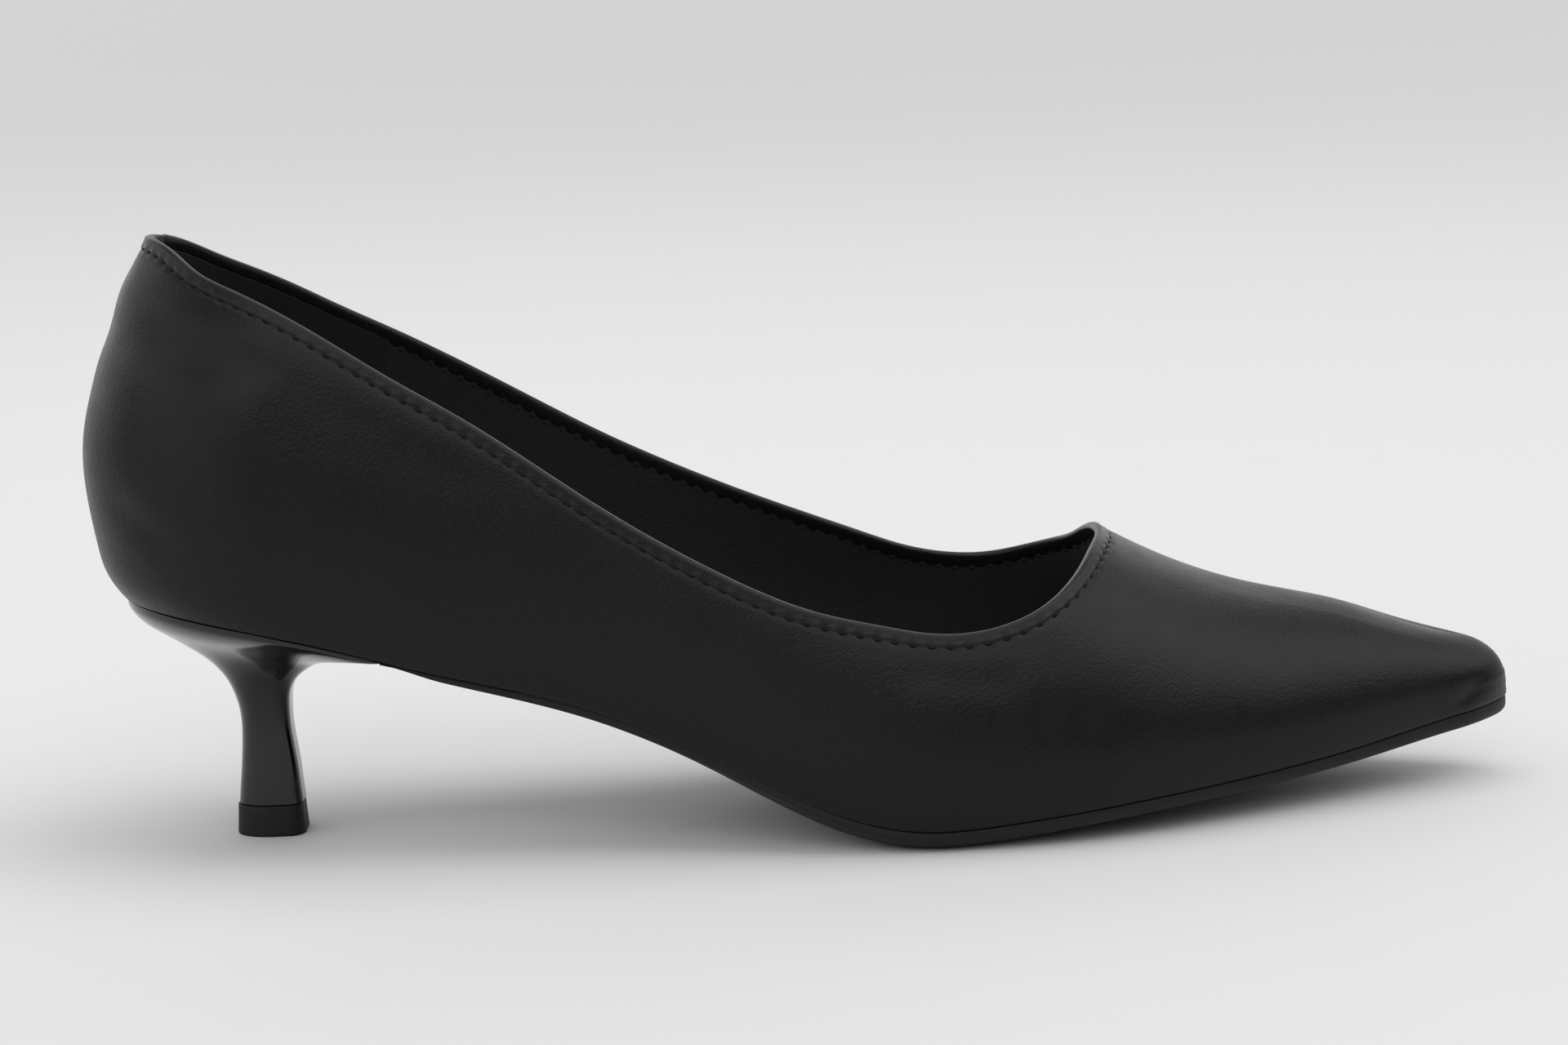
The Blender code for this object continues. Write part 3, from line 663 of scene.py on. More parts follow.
class Wiring:
    """A node tree, with a short way to add and join nodes."""

    def __init__(self, tree: bpy.types.NodeTree) -> None:
        """Work on a tree."""
        self.tree = tree

    def node(self, kind: str, inputs: Optional[dict] = None, **settings: object) -> bpy.types.Node:
        """Add a node.

        Args:
            kind: the node's type, without its ShaderNode prefix.
            inputs: values or sockets for its inputs, by name or number.
            settings: the node's own settings.

        Returns:
            The node.
        """
        made = self.tree.nodes.new("ShaderNode" + kind)
        for name, value in settings.items():
            setattr(made, name, value)
        for name, value in (inputs or {}).items():
            if isinstance(value, Socket):
                self.tree.links.new(value, made.inputs[name])
            else:
                made.inputs[name].default_value = value
        return made


class Paint(Wiring):
    """A material's node tree, with short ways to build its surface."""

    def __init__(self, name: str) -> None:
        """Start a material with a plain Principled shader."""
        self.material = bpy.data.materials.new(name)
        self.material.use_nodes = True
        super().__init__(self.material.node_tree)
        self.shader = self.tree.nodes["Principled BSDF"]

    def place(self, scale: tuple = (1.0, 1.0, 1.0), turn: tuple = (0.0, 0.0, 0.0)) -> Socket:
        """Return the object's own coordinates, scaled and turned."""
        coordinates = self.node("TexCoord").outputs["Object"]
        mapping = self.node("Mapping", {"Vector": coordinates, "Scale": scale, "Rotation": turn})
        return mapping.outputs["Vector"]

    def noise(self, place: Socket, scale: float, detail: float, roughness: float = 0.5) -> Socket:
        """Return a cloudy noise at a place."""
        return self.node("TexNoise", {
            "Vector": place, "Scale": scale, "Detail": detail, "Roughness": roughness,
        }).outputs["Fac"]

    def sum(self, first: Socket, second: Socket, weight: float) -> Socket:
        """Return first plus weight times second."""
        return self.node("Math", {0: second, 1: weight, 2: first}, operation="MULTIPLY_ADD").outputs[0]

    def remap(self, value: Socket, source: tuple, target: tuple) -> Socket:
        """Return a value carried from one range to another."""
        return self.node("MapRange", {
            "Value": value, "From Min": source[0], "From Max": source[1],
            "To Min": target[0], "To Max": target[1],
        }).outputs["Result"]

    def shades(self, value: Socket, dark: tuple, light: tuple) -> Socket:
        """Return a colour between a dark and a light shade."""
        mix = self.node("Mix", {"Factor": value, 6: (*dark, 1.0), 7: (*light, 1.0)}, data_type="RGBA")
        return mix.outputs[2]

    def bump(
        self, height: Socket, depth: float, under: Optional[Socket] = None,
    ) -> Socket:
        """Return a normal with a relief of the given depth, over another if there is one."""
        made = self.node("Bump", {"Height": height, "Distance": depth, "Strength": 1.0})
        if under is not None:
            self.tree.links.new(under, made.inputs["Normal"])
        return made.outputs["Normal"]

    def set(self, **values: object) -> Material:
        """Set or link the shader's inputs, named with underscores, and return the material."""
        for name, value in values.items():
            socket = self.shader.inputs[name.replace("_", " ")]
            if isinstance(value, Socket):
                self.tree.links.new(value, socket)
            else:
                socket.default_value = value
        return self.material


@dataclass(frozen=True)
class Leather:
    """Smooth black leather with a fine pebbled grain.

    Attributes:
        name: the material's name.
        dark: the colour in the grain's furrows.
        light: the colour on its pebbles.
        roughness: the roughness, and how far it wanders.
        grain: the size of a pebble and the depth between pebbles.
        ripple: the size and the depth of the skin's slow unevenness.
        mottle: the scale of the changes in sheen.
        ior: the index of refraction of the skin.
    """

    name: str
    dark: tuple = (0.0029, 0.0029, 0.0032)
    light: tuple = (0.0058, 0.0057, 0.0059)
    roughness: tuple = (0.37, 0.05)
    grain: tuple = (0.00055, 0.000036)
    ripple: tuple = (0.0140, 0.00025)
    mottle: float = 140.0
    ior: float = 1.315

    def build(self) -> Material:
        """Return the material."""
        paint = Paint(self.name)
        size, depth = self.grain
        place = paint.place()
        pebbles = paint.node("TexVoronoi", {"Vector": place, "Scale": 1 / size}, feature="F1")
        pores = paint.noise(place, 2.6 / size, 3.0)
        height = paint.sum(paint.remap(pebbles.outputs["Distance"], (0.0, 0.8), (1.0, 0.0)), pores, 0.5)
        slow = paint.noise(place, 1 / self.ripple[0], 1.0)
        mottle = paint.noise(place, self.mottle, 4.0)
        relief = paint.bump(height, depth, paint.bump(slow, self.ripple[1]))
        low, spread = self.roughness
        return paint.set(
            Base_Color=paint.shades(height, self.dark, self.light),
            Roughness=paint.remap(mottle, (0.25, 0.75), (low - spread, low + spread)),
            Normal=relief,
            IOR=self.ior,
        )


@dataclass(frozen=True)
class Lining:
    """Black brushed lining, with short streaks of nap that slant a little (in degrees)."""

    name: str
    dark: tuple = (0.0055, 0.0054, 0.0053)
    light: tuple = (0.0165, 0.0160, 0.0155)
    streak: float = 0.00030
    depth: float = 0.00006
    stretch: float = 0.22
    slant: float = 14.0
    roughness: float = 0.86

    def build(self) -> Material:
        """Return the material."""
        paint = Paint(self.name)
        slant = (0.0, math.radians(self.slant), 0.0)
        place = paint.place(scale=(self.stretch, 1.0, 1.0), turn=slant)
        nap = paint.noise(place, 1 / self.streak, 4.0, roughness=0.65)
        shade = paint.remap(nap, (0.35, 0.65), (0.0, 1.0))
        return paint.set(
            Base_Color=paint.shades(shade, self.dark, self.light),
            Roughness=self.roughness,
            Normal=paint.bump(nap, self.depth),
            Sheen_Weight=0.15,
            Sheen_Roughness=0.5,
        )


@dataclass(frozen=True)
class Lacquer:
    """Black gloss lacquer over a moulded heel, with the faint waves of a sprayed coat."""

    name: str
    colour: tuple = (0.0030, 0.0030, 0.0034, 1.0)
    roughness: float = 0.13
    wave: tuple = (0.0040, 0.000022)
    ior: float = 1.42
    coat: float = 0.2

    def build(self) -> Material:
        """Return the material."""
        paint = Paint(self.name)
        place = paint.place()
        peel = paint.noise(place, 1 / self.wave[0], 2.0)
        dust = paint.noise(place, 900.0, 2.0)
        return paint.set(
            Base_Color=self.colour,
            Roughness=paint.remap(dust, (0.3, 0.8), (self.roughness, self.roughness + 0.06)),
            Normal=paint.bump(peel, self.wave[1]),
            IOR=self.ior,
            Coat_Weight=self.coat,
            Coat_Roughness=0.04,
        )


@dataclass(frozen=True)
class Rubber:
    """Matte black rubber with a fine moulded texture, and a ribbed tread where it faces the floor."""

    name: str
    dark: tuple = (0.0030, 0.0030, 0.0030)
    light: tuple = (0.0070, 0.0070, 0.0069)
    roughness: float = 0.62
    depth: float = 0.00002
    rib: tuple = (0.0016, 0.00018)
    ior: float = 1.38

    def build(self) -> Material:
        """Return the material."""
        paint = Paint(self.name)
        place = paint.place()
        speckle = paint.noise(place, 1700.0, 3.0)
        cloud = paint.noise(place, 90.0, 3.0)
        scale = 0.314 / self.rib[0]
        ribs = []
        for turn in (45, -45):
            across = paint.place(turn=(0.0, 0.0, math.radians(turn)))
            wave = paint.node("TexWave", {"Vector": across, "Scale": scale}, wave_profile="SIN")
            ribs.append(wave.outputs["Fac"])
        crossed = paint.node("Math", {0: ribs[0], 1: ribs[1]}, operation="MAXIMUM").outputs[0]
        normal = paint.node("NewGeometry").outputs["Normal"]
        upwards = paint.node("SeparateXYZ", {0: normal}).outputs["Z"]
        below = paint.remap(upwards, (-0.90, -0.97), (0.0, 1.0))
        tread = paint.node("Math", {0: crossed, 1: below}, operation="MULTIPLY").outputs[0]
        return paint.set(
            Base_Color=paint.shades(cloud, self.dark, self.light),
            Roughness=paint.remap(cloud, (0.3, 0.7), (self.roughness - 0.06, self.roughness + 0.06)),
            Normal=paint.bump(speckle, self.depth, paint.bump(tread, self.rib[1])),
            IOR=self.ior,
        )


@dataclass(frozen=True)
class Thread:
    """Black twisted sewing thread."""

    name: str
    light: tuple = (0.0060, 0.0060, 0.0060)
    dark: tuple = (0.0012, 0.0012, 0.0012)
    twist: float = 0.00022
    depth: float = 0.00005
    roughness: float = 0.62
    ior: float = 1.30

    def build(self) -> Material:
        """Return the material."""
        paint = Paint(self.name)
        strands = paint.noise(paint.place(), 1 / self.twist, 1.0)
        return paint.set(
            Base_Color=paint.shades(strands, self.dark, self.light),
            Roughness=self.roughness,
            Normal=paint.bump(strands, self.depth),
            IOR=self.ior,
        )


@dataclass(frozen=True)
class Paper:
    """Pale seamless paper, which the shoe stands on."""

    name: str
    colour: tuple = (0.775, 0.768, 0.768)
    dimming: float = 0.985
    roughness: float = 0.75
    specular: float = 0.2

    def build(self) -> Material:
        """Return the material."""
        paint = Paint(self.name)
        tooth = paint.noise(paint.place(), 60.0, 5.0)
        dim = tuple(value * self.dimming for value in self.colour)
        return paint.set(
            Base_Color=paint.shades(tooth, dim, self.colour),
            Roughness=self.roughness,
            Specular_IOR_Level=self.specular,
        )


@dataclass(frozen=True)
class Fold:
    """A soft trough (depth above 0) or ridge (below 0) of the leather, placed in the side view.

    Attributes:
        side: the side of the shoe that it is on.
        start: where it starts, as x and z.
        end: where it ends.
        width: half its width.
        depth: how deep it is.
        side_blend: the way across the middle of the shoe over which it fades out.
    """

    side: Side
    start: tuple
    end: tuple
    width: float
    depth: float
    side_blend: float = 0.004

    def press(self, points: np.ndarray) -> np.ndarray:
        """Return how far each point is pressed in."""
        start, end = np.array(self.start), np.array(self.end)
        way = end - start
        flat = points[:, [0, 2]] - start
        share = np.clip(flat @ way / (way @ way), 0, 1)
        off = np.linalg.norm(flat - share[:, None] * way, axis=1)
        on_side = fade(points[:, 1] * self.side.value / self.side_blend + 0.5)
        return self.depth * np.exp(-(off / self.width) ** 2) * on_side


FOLDS = (
    Fold(Side.LATERAL, (-0.022, 0.0935), (0.004, 0.0890), 0.0042, 0.00060),
    Fold(Side.LATERAL, (-0.018, 0.1010), (0.006, 0.0975), 0.0040, -0.00025),
    Fold(Side.LATERAL, (-0.020, 0.0640), (-0.012, 0.0585), 0.0030, 0.00045),
    Fold(Side.LATERAL, (0.012, 0.0800), (0.036, 0.0700), 0.0080, 0.00045),
    Fold(Side.LATERAL, (0.139, 0.0230), (0.149, 0.0215), 0.0040, 0.00035),
    Fold(Side.LATERAL, (0.118, 0.0330), (0.132, 0.0300), 0.0035, 0.00025),
    Fold(Side.LATERAL, (0.2145, 0.0115), (0.2205, 0.0175), 0.0018, 0.00045),
    Fold(Side.LATERAL, (0.2185, 0.0125), (0.2255, 0.0150), 0.0016, -0.00030),
    Fold(Side.MEDIAL, (-0.020, 0.0900), (0.004, 0.0860), 0.0045, 0.00050),
    Fold(Side.MEDIAL, (0.125, 0.0290), (0.140, 0.0240), 0.0040, 0.00035),
    Fold(Side.MEDIAL, (0.2150, 0.0120), (0.2210, 0.0170), 0.0018, 0.00040),
)


@dataclass
class Upper:
    """The lasted upper: the outer leather and the lining inside it, with the seam of the heel lining.

    Attributes:
        ridge_widens: the way in front of the throat over which the rounded crown gets its width.
        ridge_clear: how far in front of the throat the rounding starts.
        cap_passes: the heights above the foot from which the toe is smoothed, and how many times.
        folds_below: the distance below the topline where folds begin, and the way over which they grow.
        folds_above: the same above the feather line.
        seam_step: how much deeper the heel lining lies, and the way over which it steps down.
    """

    last: Last
    leather: float = 0.0011
    wall: float = 0.0018
    lasting_margin: float = 0.0090
    feather_round: float = 0.0005
    binding_width: float = 0.0026
    tuck: float = 0.0004
    column_step: float = 0.00078
    lining_step: float = 0.0022
    lining_seam_at: float = 0.0235
    ridge_half_width: float = 0.0075
    ridge_widens: float = 0.02
    ridge_clear: float = 0.004
    ridge_height: float = 0.006
    cap_length: float = 0.013
    cap_passes: tuple = ((0.0012, 8), (0.0030, 8), (0.0048, 14))
    folds_below: tuple = (0.004, 0.006)
    folds_above: tuple = (0.001, 0.002)
    ply_gap: float = 0.00005
    seam_step: tuple = (0.0002, 0.0008)

    def skin(
        self, name: str, column_step: float, shares: np.ndarray, edge_at: float, margin: bool,
    ) -> Piece:
        """Make the outer skin of the last as an open sheet.

        Args:
            name: the piece's name.
            column_step: the way between two columns along the topline.
            shares: where the rows stand between the feather line and the edge.
            edge_at: the distance of the upper edge below the topline.
            margin: True where the sheet turns in under the foot.

        Returns:
            The sheet.
        """
        last = self.last
        ribbon = last.ribbon(column_step)
        columns = []
        for side, edge in last.lowered_edges(ribbon, edge_at).items():
            xs = last.stations_at_edge(side, edge, column_step * 1.25)
            for x in xs[::-1] if side == Side.LATERAL else xs[1:-1]:
                section = last.wall_section(x, side)
                k, share = last.crossing(section, x, edge)
                end = section[k] + share * (section[k + 1] - section[k])
                section = np.vstack((section[:k + 1], end))
                wall = spaced(section, shares)
                under = [
                    last.outline_point(x, side, part * self.lasting_margin, 0.0)
                    for part in (1.0, 0.66, 0.33)
                ]
                columns.append(np.vstack((under, self.round_foot(under[-1], wall))) if margin else wall)
        return Bench.sheet(name, np.array(columns).transpose(1, 0, 2), wrap=True)

    def round_foot(self, under: np.ndarray, wall: np.ndarray) -> np.ndarray:
        """Round a column's foot, where the leather turns under the shoe.

        Args:
            under: the column's last point on the lasting margin.
            wall: the column's points from the feather line upwards.

        Returns:
            The column's points with a round foot in place of the first.
        """
        corner = wall[0]
        inwards, upwards = unit(under - corner), unit(wall[2] - corner)
        reach = min(self.feather_round, 0.5 * np.linalg.norm(wall[2] - corner))
        start, end = corner + inwards * reach, corner + upwards * reach
        turn = [
            (1 - t) ** 2 * start + 2 * t * (1 - t) * corner + t ** 2 * end for t in np.linspace(0, 1, 5)
        ]
        rest = [point for point in wall[1:] if (point - corner) @ upwards > reach * 1.3]
        missing = len(wall) - 1 - len(rest)
        bridge = [end + (rest[0] - end) * (i + 1) / (missing + 1) for i in range(missing)]
        return np.vstack((turn, *([bridge] if bridge else []), rest))

    def near_edge(self, points: np.ndarray, ribbon: Ribbon) -> tuple[np.ndarray, np.ndarray]:
        """Return each point's distance below the topline and its way along it."""
        below, run = np.full(len(points), 1.0), np.zeros(len(points))
        for first in range(0, len(points), 4000):
            part = points[first:first + 4000]
            apart = np.linalg.norm(part[:, None] - ribbon.points[None], axis=2)
            nearest = apart.argmin(axis=1)
            offset = part - ribbon.points[nearest]
            forward = (offset * ribbon.tangents[nearest]).sum(axis=1)
            below[first:first + 4000] = np.sqrt(np.maximum((offset ** 2).sum(axis=1) - forward ** 2, 0))
            run[first:first + 4000] = ribbon.run[nearest] + forward
        return below, run

    def soften_ridge(self, piece: Piece) -> None:
        """Round the crown of the vamp, where the skin's two sides meet, and the toe's corner."""
        Bench.pick(piece)
        last = self.last
        for above_foot, repeat in self.cap_passes:
            x, y, z = Bench.coordinates(piece).T
            height = z - last.feather(x)
            half = self.ridge_half_width * np.clip((x - last.throat_at) / self.ridge_widens, 0.0, 1.0)
            crown = (np.abs(y - last.swing(x)) < half) & (height > self.ridge_height)
            cap = (x > last.toe_end - self.cap_length) & (height > above_foot)
            chosen = (x > last.throat_at + self.ridge_clear) & (crown | cap)
            bpy.ops.object.mode_set(mode="EDIT")
            bpy.ops.mesh.select_all(action="DESELECT")
            bpy.ops.object.mode_set(mode="OBJECT")
            piece.data.vertices.foreach_set("select", chosen.tolist())
            bpy.ops.object.mode_set(mode="EDIT")
            bpy.ops.mesh.select_mode(type="VERT")
            bpy.ops.mesh.vertices_smooth(factor=0.5, repeat=repeat)
            bpy.ops.object.mode_set(mode="OBJECT")

    def make_leather(self, material: Material, stitching: "Stitching") -> Piece:
        """Make the outer leather with its folds and the pull of its stitches."""
        foot, middle = np.linspace(0, 0.10, 5)[:-1], np.linspace(0.10, 0.90, 36)[:-1]
        shares = np.concatenate((foot, middle, 1 - 0.10 * np.linspace(1, 0, 11) ** 1.4))
        edge_at = self.binding_width - self.tuck
        piece = self.skin("upper_leather", self.column_step, shares, edge_at, True)
        self.soften_ridge(piece)
        points, normals = Bench.coordinates(piece), Bench.normals(piece)
        pressed = sum(fold.press(points) for fold in FOLDS)
        ribbon = self.last.ribbon(self.column_step)
        below, run = self.near_edge(points, ribbon)
        above = points[:, 2] - self.last.feather(points[:, 0])
        for distance, (clear, growing) in ((below, self.folds_below), (above, self.folds_above)):
            pressed *= fade((distance - clear) / growing)
        pressed += stitching.pull(below, run, ribbon.length)
        Bench.place(piece, points - normals * pressed[:, None])
        Bench.wall(piece, self.leather)
        return Bench.finish(piece, [material], Slot.UPPER, ["upper"])

    def make_lining(self, materials: Sequence[Material]) -> Piece:
        """Make the lining, in two cloths that meet at an upright seam behind the arch."""
        shares = np.concatenate((np.linspace(0.03, 0.9, 26)[:-1], np.linspace(0.9, 1.0, 5)))
        piece = self.skin("lining", self.lining_step, shares, self.binding_width - self.tuck, False)
        points, normals = Bench.coordinates(piece), Bench.normals(piece)
        deeper, blend = self.seam_step
        behind = fade((self.lining_seam_at - points[:, 0]) / blend)
        inwards = self.leather + self.ply_gap + deeper * behind
        Bench.place(piece, points - normals * inwards[:, None])
        Bench.wall(piece, self.wall - self.leather - 2 * self.ply_gap)
        for face in piece.data.polygons:
            face.material_index = 1 if face.center.x < self.lining_seam_at else 0
        return Bench.finish(piece, materials, Slot.INSOLE)


@dataclass
class Stitching:
    """The row of stitches under the binding, on both faces of the wall.

    Attributes:
        pull_shares: the pull that is even along the row, and the part that comes and goes with it.
        bow: how far a thread's ends dip into the wall, in thread radii.
        sunk: how deep the outer row lies under the wall's face.
    """

    pitch: float = 0.00305
    depth_below: float = 0.00280
    thread_length: float = 0.0016
    thread_radius: float = 0.00019
    pull_depth: float = 0.00034
    pull_width: float = 0.0006
    pull_shares: tuple = (0.60, 0.40)
    inner_below: float = 0.0031
    bow: float = 1.6
    sunk: float = 0.00018
    wall: float = 0.0018

    def count(self, length: float) -> int:
        """Return the number of stitches in a loop."""
        return int(round(length / self.pitch))

    def pull(self, below: np.ndarray, run: np.ndarray, length: float) -> np.ndarray:
        """Return how far the stitches pull the wall in.

        Args:
            below: the distance below the topline.
            run: the way along the topline.
            length: the topline's length.

        Returns:
            The depth at each place, deepest at the needle holes.
        """
        phase = 2 * math.pi * run * self.count(length) / length
        across = np.exp(-((below - self.depth_below) / self.pull_width) ** 2)
        even, waving = self.pull_shares
        return self.pull_depth * across * (even - waving * np.cos(phase))

    def make_row(
        self, name: str, ribbon: Ribbon, below: float, out: float, material: Material,
    ) -> Piece:
        """Make one row of threads, each a short bowed capsule with its own place.

        Args:
            name: the row's name.
            ribbon: the topline.
            below: the row's distance below the topline.
            out: how far out of the wall's outer face the threads lie.
            material: the thread.

        Returns:
            The row.
        """
        Bench.clear_selection()
        bpy.ops.mesh.primitive_uv_sphere_add(segments=8, ring_count=7, radius=1.0)
        bpy.ops.transform.resize(value=(self.thread_radius, self.thread_radius, self.thread_length / 2))
        bpy.ops.object.transform_apply(location=False, rotation=True, scale=True)
        pattern = bpy.context.object
        shape = Bench.coordinates(pattern)
        half = self.thread_length / 2
        along = shape[:, 2] / half
        radius = self.thread_radius * np.sqrt(np.clip(1 - np.abs(along) ** 4, 0, 1))
        around = np.hypot(shape[:, 0], shape[:, 1])
        scale = np.where(around > 1e-9, radius / np.maximum(around, 1e-9), 0)
        shape[:, 0] *= scale
        shape[:, 1] *= scale
        bow = self.thread_radius * self.bow * along ** 2
        dip = math.copysign(1, out + self.wall / 2) * bow[:, None]
        number = self.count(ribbon.length)
        copies = []
        for i in range(number):
            run = (i + 0.5) * ribbon.length / number
            point, normal, down = ribbon.at(run)
            ahead, behind = (ribbon.at(run + step)[0] for step in (0.0004, -0.0004))
            tangent = unit(ahead - behind)
            centre = point + down * below + normal * out
            placed = (
                centre + shape[:, 2:3] * tangent + shape[:, 0:1] * down
                + (shape[:, 1:2] - dip) * normal
            )
            copy = pattern.copy()
            copy.data = pattern.data.copy()
            bpy.context.collection.objects.link(copy)
            Bench.place(copy, placed)
            copies.append(copy)
        Bench.clear_selection()
        bpy.data.objects.remove(pattern)
        for copy in copies:
            copy.select_set(True)
        bpy.context.view_layer.objects.active = copies[0]
        bpy.ops.object.join()
        row = bpy.context.object
        row.name = row.data.name = name
        bpy.ops.object.mode_set(mode="EDIT")
        Bench.face_outwards()
        return Bench.finish(row, [material], Slot.BINDING)


@dataclass
class Binding:
    """The rolled binding round the topline, with the lap where its two ends meet at the back.

    Attributes:
        pull_share: how much of the stitches' pull reaches the band, on average.
        pull_from: how far down the band the pull begins, as a share of its width.
        pull_over: the share of its width over which the pull grows.
    """

    last: Last
    width: float = 0.0026
    wall: float = 0.0018
    proud: float = 0.0002
    ring_step: float = 0.00051
    lap_thickness: float = 0.00012
    lap_length: float = 0.0070
    lap_after_back: float = 0.0055
    pull_share: float = 0.25
    pull_from: float = 0.55
    pull_over: float = 0.4

    def make(self, material: Material, stitching: Stitching) -> Piece:
        """Make the binding."""
        ribbon = self.last.ribbon(self.ring_step)
        half = self.wall / 2 + self.proud
        back = ribbon.run[ribbon.sides.index(Side.MEDIAL) - 1]
        number = stitching.count(ribbon.length)
        rings = []
        for point, normal, down, run in zip(ribbon.points, ribbon.normals, ribbon.down, ribbon.run):
            past = run - back - self.lap_after_back
            lap = self.lap_thickness * (1 - fade(past / self.lap_length)) if past > 0 else 0.0
            phase = 2 * math.pi * run * number / ribbon.length
            pull = stitching.pull_depth * (self.pull_share - self.pull_share * math.cos(phase))
            ring = []
            for lower, outwards in BINDING_PROFILE:
                low = fade((lower - self.pull_from) / self.pull_over)
                out = outwards * half + math.copysign(lap, outwards)
                out -= math.copysign(pull * low, outwards)
                drop = lower * self.width - lap * (1 - low)
                ring.append(point + down * drop + normal * (out - self.wall / 2))
            rings.append(ring)
        rows = np.array(rings)
        rows = np.concatenate((rows, rows[:1]), axis=0)
        piece = Bench.sheet("topline_band", rows, wrap=True)
        return Bench.finish(piece, [material], Slot.BINDING, ["topline_binding"], angle=60.0)


@dataclass
class Bottom:
    """The insole inside the shoe and the outsole under it.

    Attributes:
        start_share: the sole's thickness at its start, as a share of its full one.
        start_run: the way over which it gains its full thickness.
    """

    last: Last
    wall: float = 0.0018
    lasting_margin: float = 0.0090
    insole_thickness: float = 0.0022
    setback: float = 0.0015
    bevel: float = 0.0070
    breast_at: float = 0.0240
    step: float = 0.0020
    start_share: float = 0.30
    start_run: float = 0.010

    def ring(self, x: float, levels: Sequence[tuple]) -> np.ndarray:
        """Return a closed section across the shoe at x, from (inset, depth) pairs of each side."""
        lateral, medial = (
            [self.last.outline_point(x, side, *level) for level in levels] for side in Side
        )
        return np.array(lateral + medial[::-1])

    def make_insole(self, material: Material) -> Piece:
        """Make the insole with a soft edge and a slightly padded middle."""
        gap, thick = self.last.fit_gap, self.insole_thickness
        seat = -(self.wall + gap)
        rim = self.wall + gap
        levels = [(rim + inwards, seat - thick * share) for inwards, share in INSOLE_PROFILE]
        levels += [(rim, seat), (self.lasting_margin, seat)]
        xs = self.last.even_stations(self.last.heel_end, self.step)
        piece = Bench.sheet("sock_insole", np.array([self.ring(x, levels) for x in xs]), wrap=True)
        return Bench.finish(piece, [material], Slot.INSOLE, ["insole"])

    def sole_levels(self, x: float, sole: dict) -> list:
        """Return the outsole's side at x as (inset, depth) pairs, from its top to its tread."""
        at = self.last.along(x)
        gap = self.last.fit_gap
        setback = sole["setback"](at) * self.setback
        growth = fade((x - self.breast_at) / self.start_run)
        thin = self.start_share + (1 - self.start_share) * growth
        edge, tread = (
            sole[name](at) * self.last.sole_thickness * thin for name in ("edge_depth", "tread_depth")
        )
        return [
            (setback + 0.0022, gap * 0.2),
            (setback + 0.0003, gap * 0.2),
            (setback + 0.0001, gap * 0.5),
            (setback, gap + edge * 0.15),
            (setback, gap + edge * 0.55),
            (setback + edge * 0.06, gap + edge * 0.78),
            (setback + edge * 0.22, gap + edge * 0.94),
            (setback + edge * 0.45, gap + edge * 1.02),
            (setback + self.bevel * 0.3, gap + edge + (tread - edge) * 0.45),
            (setback + self.bevel * 0.5, gap + edge + (tread - edge) * 0.75),
            (setback + self.bevel * 0.75, gap + edge + (tread - edge) * 0.93),
            (setback + self.bevel, gap + tread),
        ]

    def make_outsole(self, material: Material) -> Piece:
        """Make the outsole from the breast of the heel to the toe; what reaches the floor is flat."""
        sole = table_curves(SOLE_COLUMNS, SOLE_SECTIONS)
        start = self.breast_at + self.last.fit_gap * 0.1
        rings = []
        for x in self.last.even_stations(start, self.step):
            ring = self.ring(x, self.sole_levels(x, sole))
            ring[:, 2] = np.maximum(ring[:, 2], 0.0)
            if x == start:
                ring[:, 0] = start
            rings.append(ring)
        piece = Bench.sheet("sole", np.array(rings), wrap=True)
        Bench.close_holes(piece)
        return Bench.finish(piece, [material], Slot.OUTSOLE, ["outsole"])


